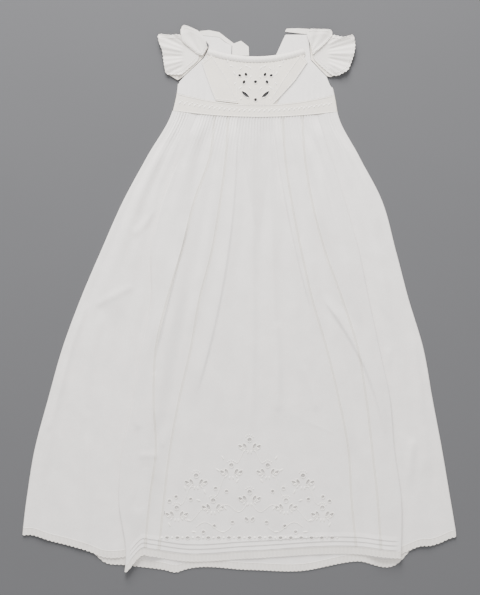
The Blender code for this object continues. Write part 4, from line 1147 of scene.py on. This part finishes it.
# Sleeves: the fold along the top, the open hem and the armhole, then the outlines of the two frills, and
# the place that the gathers fan out from
sleeves = {
    -1: {
        "fold": ((-126, 428), (-110, 431), (-94, 436), (-76, 438), (-62, 428), (-52, 415)),
        "hem": ((-126, 428), (-123, 400), (-120, 372)),
        "armhole": ((-101.2, 361), (-91.2, 367.8), (-73.7, 384.3), (-59.8, 397.8), (-52, 415)),
        "sleeve_frill": ((-134.7, 437.3), (-133, 424), (-127.5, 411), (-125, 391), (-121.4, 369.6),
                         (-106, 368.8), (-95, 368.5), (-80, 382), (-66, 396), (-70, 410), (-84, 418),
                         (-98, 436.5), (-112.6, 434.9)),
        "shoulder_frill": ((-92, 452), (-97, 442), (-94, 424), (-82, 414), (-70, 404), (-60.5, 400.5),
                           (-53, 413), (-55, 426), (-66, 441)),
        "axis": (-60, 400),
    },
    1: {
        "fold": ((117, 431), (134, 436), (152, 433), (170, 430), (184, 430)),
        "hem": ((184, 430), (184, 400), (178, 378)),
        "armhole": ((150.5, 366), (144.5, 367.7), (132.5, 379.7), (118.4, 394.8), (116.9, 414), (117, 431)),
        "sleeve_frill": ((188.5, 436), (191.8, 419), (189.5, 402.6), (184.5, 387.8), (179.5, 376),
                         (163, 367.2), (152.5, 367.5), (136, 381.5), (122, 397), (121, 417), (135, 424),
                         (152, 436), (173, 431)),
        "shoulder_frill": ((110, 442), (117, 444.5), (152, 443.5), (153.5, 434), (143, 422), (131, 411),
                           (121, 402), (119, 412)),
        "axis": (116, 404),
    },
}
frills = {
    "waves": 13,                # gathers in a whole turn round the axis
    "fineWaves": 41,
    "fineHeight": 0.35,
    "scallop": 6.0,
    "scallopDepth": 1.5,
    "clearOf": 116,             # the gathers start this far from the bodice's middle
    "innerRow": 0.86,           # the inner row of stitches against the outline
    "thread": 0.45,
}


def fromArmhole(side, x, y):
    # direction and distance from the place that a sleeve's gathers fan out from
    ax, ay = sleeves[side]["axis"]
    return np.arctan2(y - ay, x - ax), np.hypot(x - ax, y - ay)


def sleeveWaves(side, x, y):
    # gathers that fan out from the armhole and deepen towards the frill's edge
    angle, reach = fromArmhole(side, x, y)
    return (1 + np.cos(angle * frills["waves"])) / 2 * (0.6 + 0.02 * reach)


def foldLine(side, x):
    fold = np.array(sleeves[side]["fold"], float)
    return smooth(x, fold[:, 0], fold[:, 1])


def sleeveHeight(side, x, y):
    # outer face of a sleeve, highest along its fold
    return layer + layer * np.exp(-np.maximum(foldLine(side, x) - y, 0) / 8)


def frillHeight(side, x, y):
    # the wide frill, flat near the bodice, with its gathers and a fine ripple beyond it
    clear = (x - (neck["centre"] + side * frills["clearOf"])) * side
    fine = frills["fineHeight"] * np.cos(fromArmhole(side, x, y)[0] * frills["fineWaves"])
    waves = sleeveWaves(side, x, y) + fine + frills["fineHeight"]
    return sleeveHeight(side, x, y) + layer + gap + waves * ease(clear / 10)


def shoulderHeight(side, x, y):
    return sleeveHeight(side, x, y) + 2 * (layer + gap) + 0.8 * sleeveWaves(side, x, y)


def sleevePlace(x, y, face):
    return x, y, face * (2 * layer - gap) + 0.12 * (1 + np.cos(x * 0.35)) * face


frillEdges = []
for side, name in sideNames.items():
    shapes = sleeves[side]
    upper = [*between(shapes["hem"], 2), *between((shapes["hem"][-1], shapes["armhole"][0]), 3)[1:-1],
             *shapes["armhole"]]
    foldXs = np.linspace(upper[-1][0], upper[0][0], 24)[1:-1]
    outline = [*upper, *along(partial(foldLine, side), foldXs)]
    flatPiece(f"sleeve_{name}", outline, sleevePlace, lawn, step=1.8, wall=(0.05, 0.98))
    for kind, height in (("sleeve_frill", frillHeight), ("shoulder_frill", shoulderHeight)):
        loop = shapes[kind]
        closed = np.array(between([*loop, loop[0]], 10))[:-1]
        for _ in range(6):
            closed = (np.roll(closed, 1, axis=0) + 2 * closed + np.roll(closed, -1, axis=0)) / 4
        out = closed - closed.mean(axis=0)
        out /= np.linalg.norm(out, axis=1, keepdims=True)
        reach = (closed[:, 0] - neck["centre"]) * side
        free = ease((reach - 100) / 12)[:, None] if kind == "sleeve_frill" else 0.4
        run = np.cumsum(np.linalg.norm(np.diff(closed, axis=0, prepend=closed[-1:]), axis=1))
        wave = frills["scallopDepth"] * np.abs(np.sin(run * math.pi / frills["scallop"]))
        closed = closed - out * free * wave[:, None]
        place = laid(partial(height, side))
        flatPiece(f"{kind}_{name}", closed, place, edgingCloth, 1.1)
        inner = closed.mean(axis=0) + (closed - closed.mean(axis=0)) * frills["innerRow"]
        frillEdges.append(onCloth(place, *closed.T, 0.7))
        frillEdges.append(onCloth(place, *inner.T, 0.9))
added("frillStitches", tubes(frillEdges, frills["thread"], 4, closed=True))

print("whitework")
# Own layout in a common whitework manner: satin leaves and buds round each fan, and sprigs between them
skirtWork = {
    # round each fan: directions in degrees, reach across and up, lift, width, length
    "round": (((-150, -125, -100, -80, -55, -30), 15.5, 13.5, -1.5, 3.0, 7.0),
              ((40, 65, 90, 115, 140), 8.0, 8.0, 6, 1.9, 3.0)),
    # across, height, lean
    "sprigs": ((44, -262, 30), (52, -282, 60), (74, -318, 20), (84, -332, 70), (106, -312, 15),
               (20, -300, -30), (40, -345, 40), (100, -365, 60), (92, -384, 80), (44, -384, 80),
               (132, -372, 25)),
    "sprig": (3.2, 9.0),
    # from across, from height, to across, to height, bend
    "stems": ((2, -252, 26, -268, 6), (4, -338, 52, -352, -9), (66, -350, 108, -362, 7),
              (36, -292, 60, -326, 6), (92, -310, 116, -338, 6), (30, -376, 88, -376, -8)),
    "knot": 4.6,
    "satinHeight": 0.9,
    "knotHeight": 1.1,
    "rim": {"radius": 0.62, "out": 0.75, "up": 0.15},
    "stemRadius": 0.5,
}
bodiceWork = {
    # across, height, width, length, lean
    "satin": ((9, 381, 2.6, 7, 30), (15, 384, 2.6, 7, 60), (24, 380, 2.4, 6, -40), (8, 366, 2.4, 6, -20),
              (9, 347, 2.6, 8, 40), (25, 348, 2.6, 8, -50), (12, 331, 2.4, 6, 60), (24, 330, 2.4, 6, -30),
              (35, 372, 2.6, 8, 25), (40, 384, 2.4, 7, 65), (46, 392, 2.4, 6, 10), (34, 355, 2.4, 6, -30)),
    "satinHeight": 0.7,
    "rim": {"radius": 0.55, "out": 0.7, "up": 0.12},
    "seamRadius": 0.5,
}
bandWork = {"pitch": 8.2, "leaf": (3.0, 6.4, 35), "bud": (2.4, 3.2, -35), "height": 0.7, "radius": 0.55}


def frontTop(x, y):
    return frontPlace(x.ravel(), y.ravel(), np.full(x.size, clothWall[1]))[2].reshape(x.shape)


def bodiceTop(x, y):
    return bodiceHeight(x, y) + clothWall[1]


def bandTop(x, y):
    return bandHeight(x, y) + clothWall[1]


def rimThreads(holes, top, rim):
    # thread round each eyelet: its outline, moved out and up
    paths = []
    for hole in holes:
        loop = np.array(hole)
        fromMiddle = loop - loop.mean(axis=0)
        reach = np.linalg.norm(fromMiddle, axis=1, keepdims=True)
        wide = loop.mean(axis=0) + fromMiddle * (1 + rim["out"] / reach)
        paths.append(raised(wide, top(*wide.T) + rim["up"]))
    return tubes(paths, rim["radius"], 6, closed=True)


satin = []
for _, x, y in bothSides(cutwork["fans"], cutwork["middle"]):
    for angles, across, up, lift, width, length in skirtWork["round"]:
        for angle in angles:
            a = math.radians(angle)
            satin.append((x + across * math.cos(a), y + up * math.sin(a) + lift, width, length, 90 - angle))
for side, x, y, lean in bothSides(skirtWork["sprigs"], cutwork["middle"]):
    satin.append((x, y, *skirtWork["sprig"], side * lean))
stems = []
t = np.linspace(0, 1, 22)
for side, x0, y0, x1, y1, bend in bothSides(skirtWork["stems"], cutwork["middle"]):
    x = x0 + (cutwork["middle"] + side * x1 - x0) * t
    y = y0 + (y1 - y0) * t + bend * np.sin(t * 2 * math.pi)
    stems.append(np.stack([x, y, frontTop(x, y) + 0.1], axis=1))
knot = skirtWork["knot"]
knots = [(x, cutwork["borderY"], knot, knot, 0) for x in borderXs(cutwork["borderCount"] + 1)]
shape = joined(rimThreads(skirtHoles, frontTop, skirtWork["rim"]),
               domes(satin, skirtWork["satinHeight"], frontTop),
               domes(knots, skirtWork["knotHeight"], frontTop), tubes(stems, skirtWork["stemRadius"], 5))
added("skirtWhitework", shape)

satin = []
for side, x, y, width, length, lean in bothSides(bodiceWork["satin"], neck["centre"]):
    satin.append((x, y, width, length, side * lean))
seamPaths = []
for side in (-1, 1):
    line = np.array(between(bodiceSeams[side]["yokeInner"], 20))
    line[:, 1] = np.minimum(line[:, 1], neckFoot(line[:, 0]) - 0.5)
    seamPaths.append(raised(line - (side * gap / 2, 0), bodiceTop(*line.T)))
shape = joined(rimThreads(centreHoles, bodiceTop, bodiceWork["rim"]),
               domes(satin, bodiceWork["satinHeight"], bodiceTop),
               tubes(seamPaths, bodiceWork["seamRadius"], 5),
               tubes(robingPaths, robingEdge["thread"], 5, closed=True))
added("bodiceWhitework", shape)

bandSatin = []
for x in np.arange(-98, 152, bandWork["pitch"]):
    middle = (waistLow(x) + waistHigh(x)) / 2
    bandSatin.append((x, middle, *bandWork["leaf"]))
    bandSatin.append((x + bandWork["pitch"] / 2, middle + 2.6, *bandWork["bud"]))
bandPaths = []
for inset, line in ((1.1, waistLow), (-1.4, waistHigh)):
    x = np.linspace(-101, 154, 260)
    y = line(x) + inset
    bandPaths.append(np.stack([x, y, bandTop(x, y)], axis=1))
shape = joined(domes(bandSatin, bandWork["height"], bandTop), tubes(bandPaths, bandWork["radius"], 5))
added("waistWhitework", shape)

print("light, floor and camera")
view = {"lens": 85.0, "sensor": 36.0, "place": (0.00124, 0.00248, 2.318)}
# Each light's power, size in metres, place and aim
lights = {
    "softboxAbove": (207.3, 1.3, (-0.3, 2.3, 1.15), (0.0, -0.1, 0.0)),
    "softboxBelow": (21.3, 2.5, (0.4, -1.6, 2.6), (0.0, 0.0, 0.0)),
}
worldLight = 1.06
floorPaper = {"colours": ("#535355", "#555557"), "half": 6000.0, "z": -0.4, "roughness": 0.95}

around = ((-1, -1), (1, -1), (1, 1), (-1, 1))
floorPoints = np.array([[x * floorPaper["half"], y * floorPaper["half"], floorPaper["z"]] for x, y in around])
paper = bpy.data.materials.new("floorPaper")
paper.use_nodes = True
tree = paper.node_tree
place = addNode(tree, "ShaderNodeTexCoord")
grain = addNode(tree, "ShaderNodeTexNoise", {"Vector": place.outputs["Object"], "Scale": 6.0, "Detail": 2.0})
low, high = (toLinear(colour) for colour in floorPaper["colours"])
tint = addNode(tree, "ShaderNodeMix", {0: grain.outputs["Fac"], 6: low, 7: high}, data_type="RGBA")
tree.links.new(tint.outputs[2], tree.nodes["Principled BSDF"].inputs["Base Color"])
tree.nodes["Principled BSDF"].inputs["Roughness"].default_value = floorPaper["roughness"]
floor = meshFrom("floor", floorPoints, np.array([[0, 1, 2, 3]]), paper)

for name, (power, size, place, aim) in lights.items():
    lamp = bpy.data.lights.new(name, "AREA")
    lamp.energy = power
    lamp.size = size
    shown = bpy.data.objects.new(name, lamp)
    bpy.context.scene.collection.objects.link(shown)
    shown.location = place
    shown.rotation_euler = (Vector(aim) - Vector(place)).to_track_quat("-Z", "Y").to_euler()
world = bpy.data.worlds.new("studio")
world.use_nodes = True
world.node_tree.nodes["Background"].inputs["Color"].default_value = (1.0, 1.0, 1.0, 1.0)
world.node_tree.nodes["Background"].inputs["Strength"].default_value = worldLight
bpy.context.scene.world = world

lens = bpy.data.cameras.new("camera")
lens.lens = view["lens"]
lens.sensor_width = view["sensor"]
lens.clip_end = 30.0
camera = bpy.data.objects.new("camera", lens)
camera.location = view["place"]
bpy.context.scene.collection.objects.link(camera)
bpy.context.scene.camera = camera
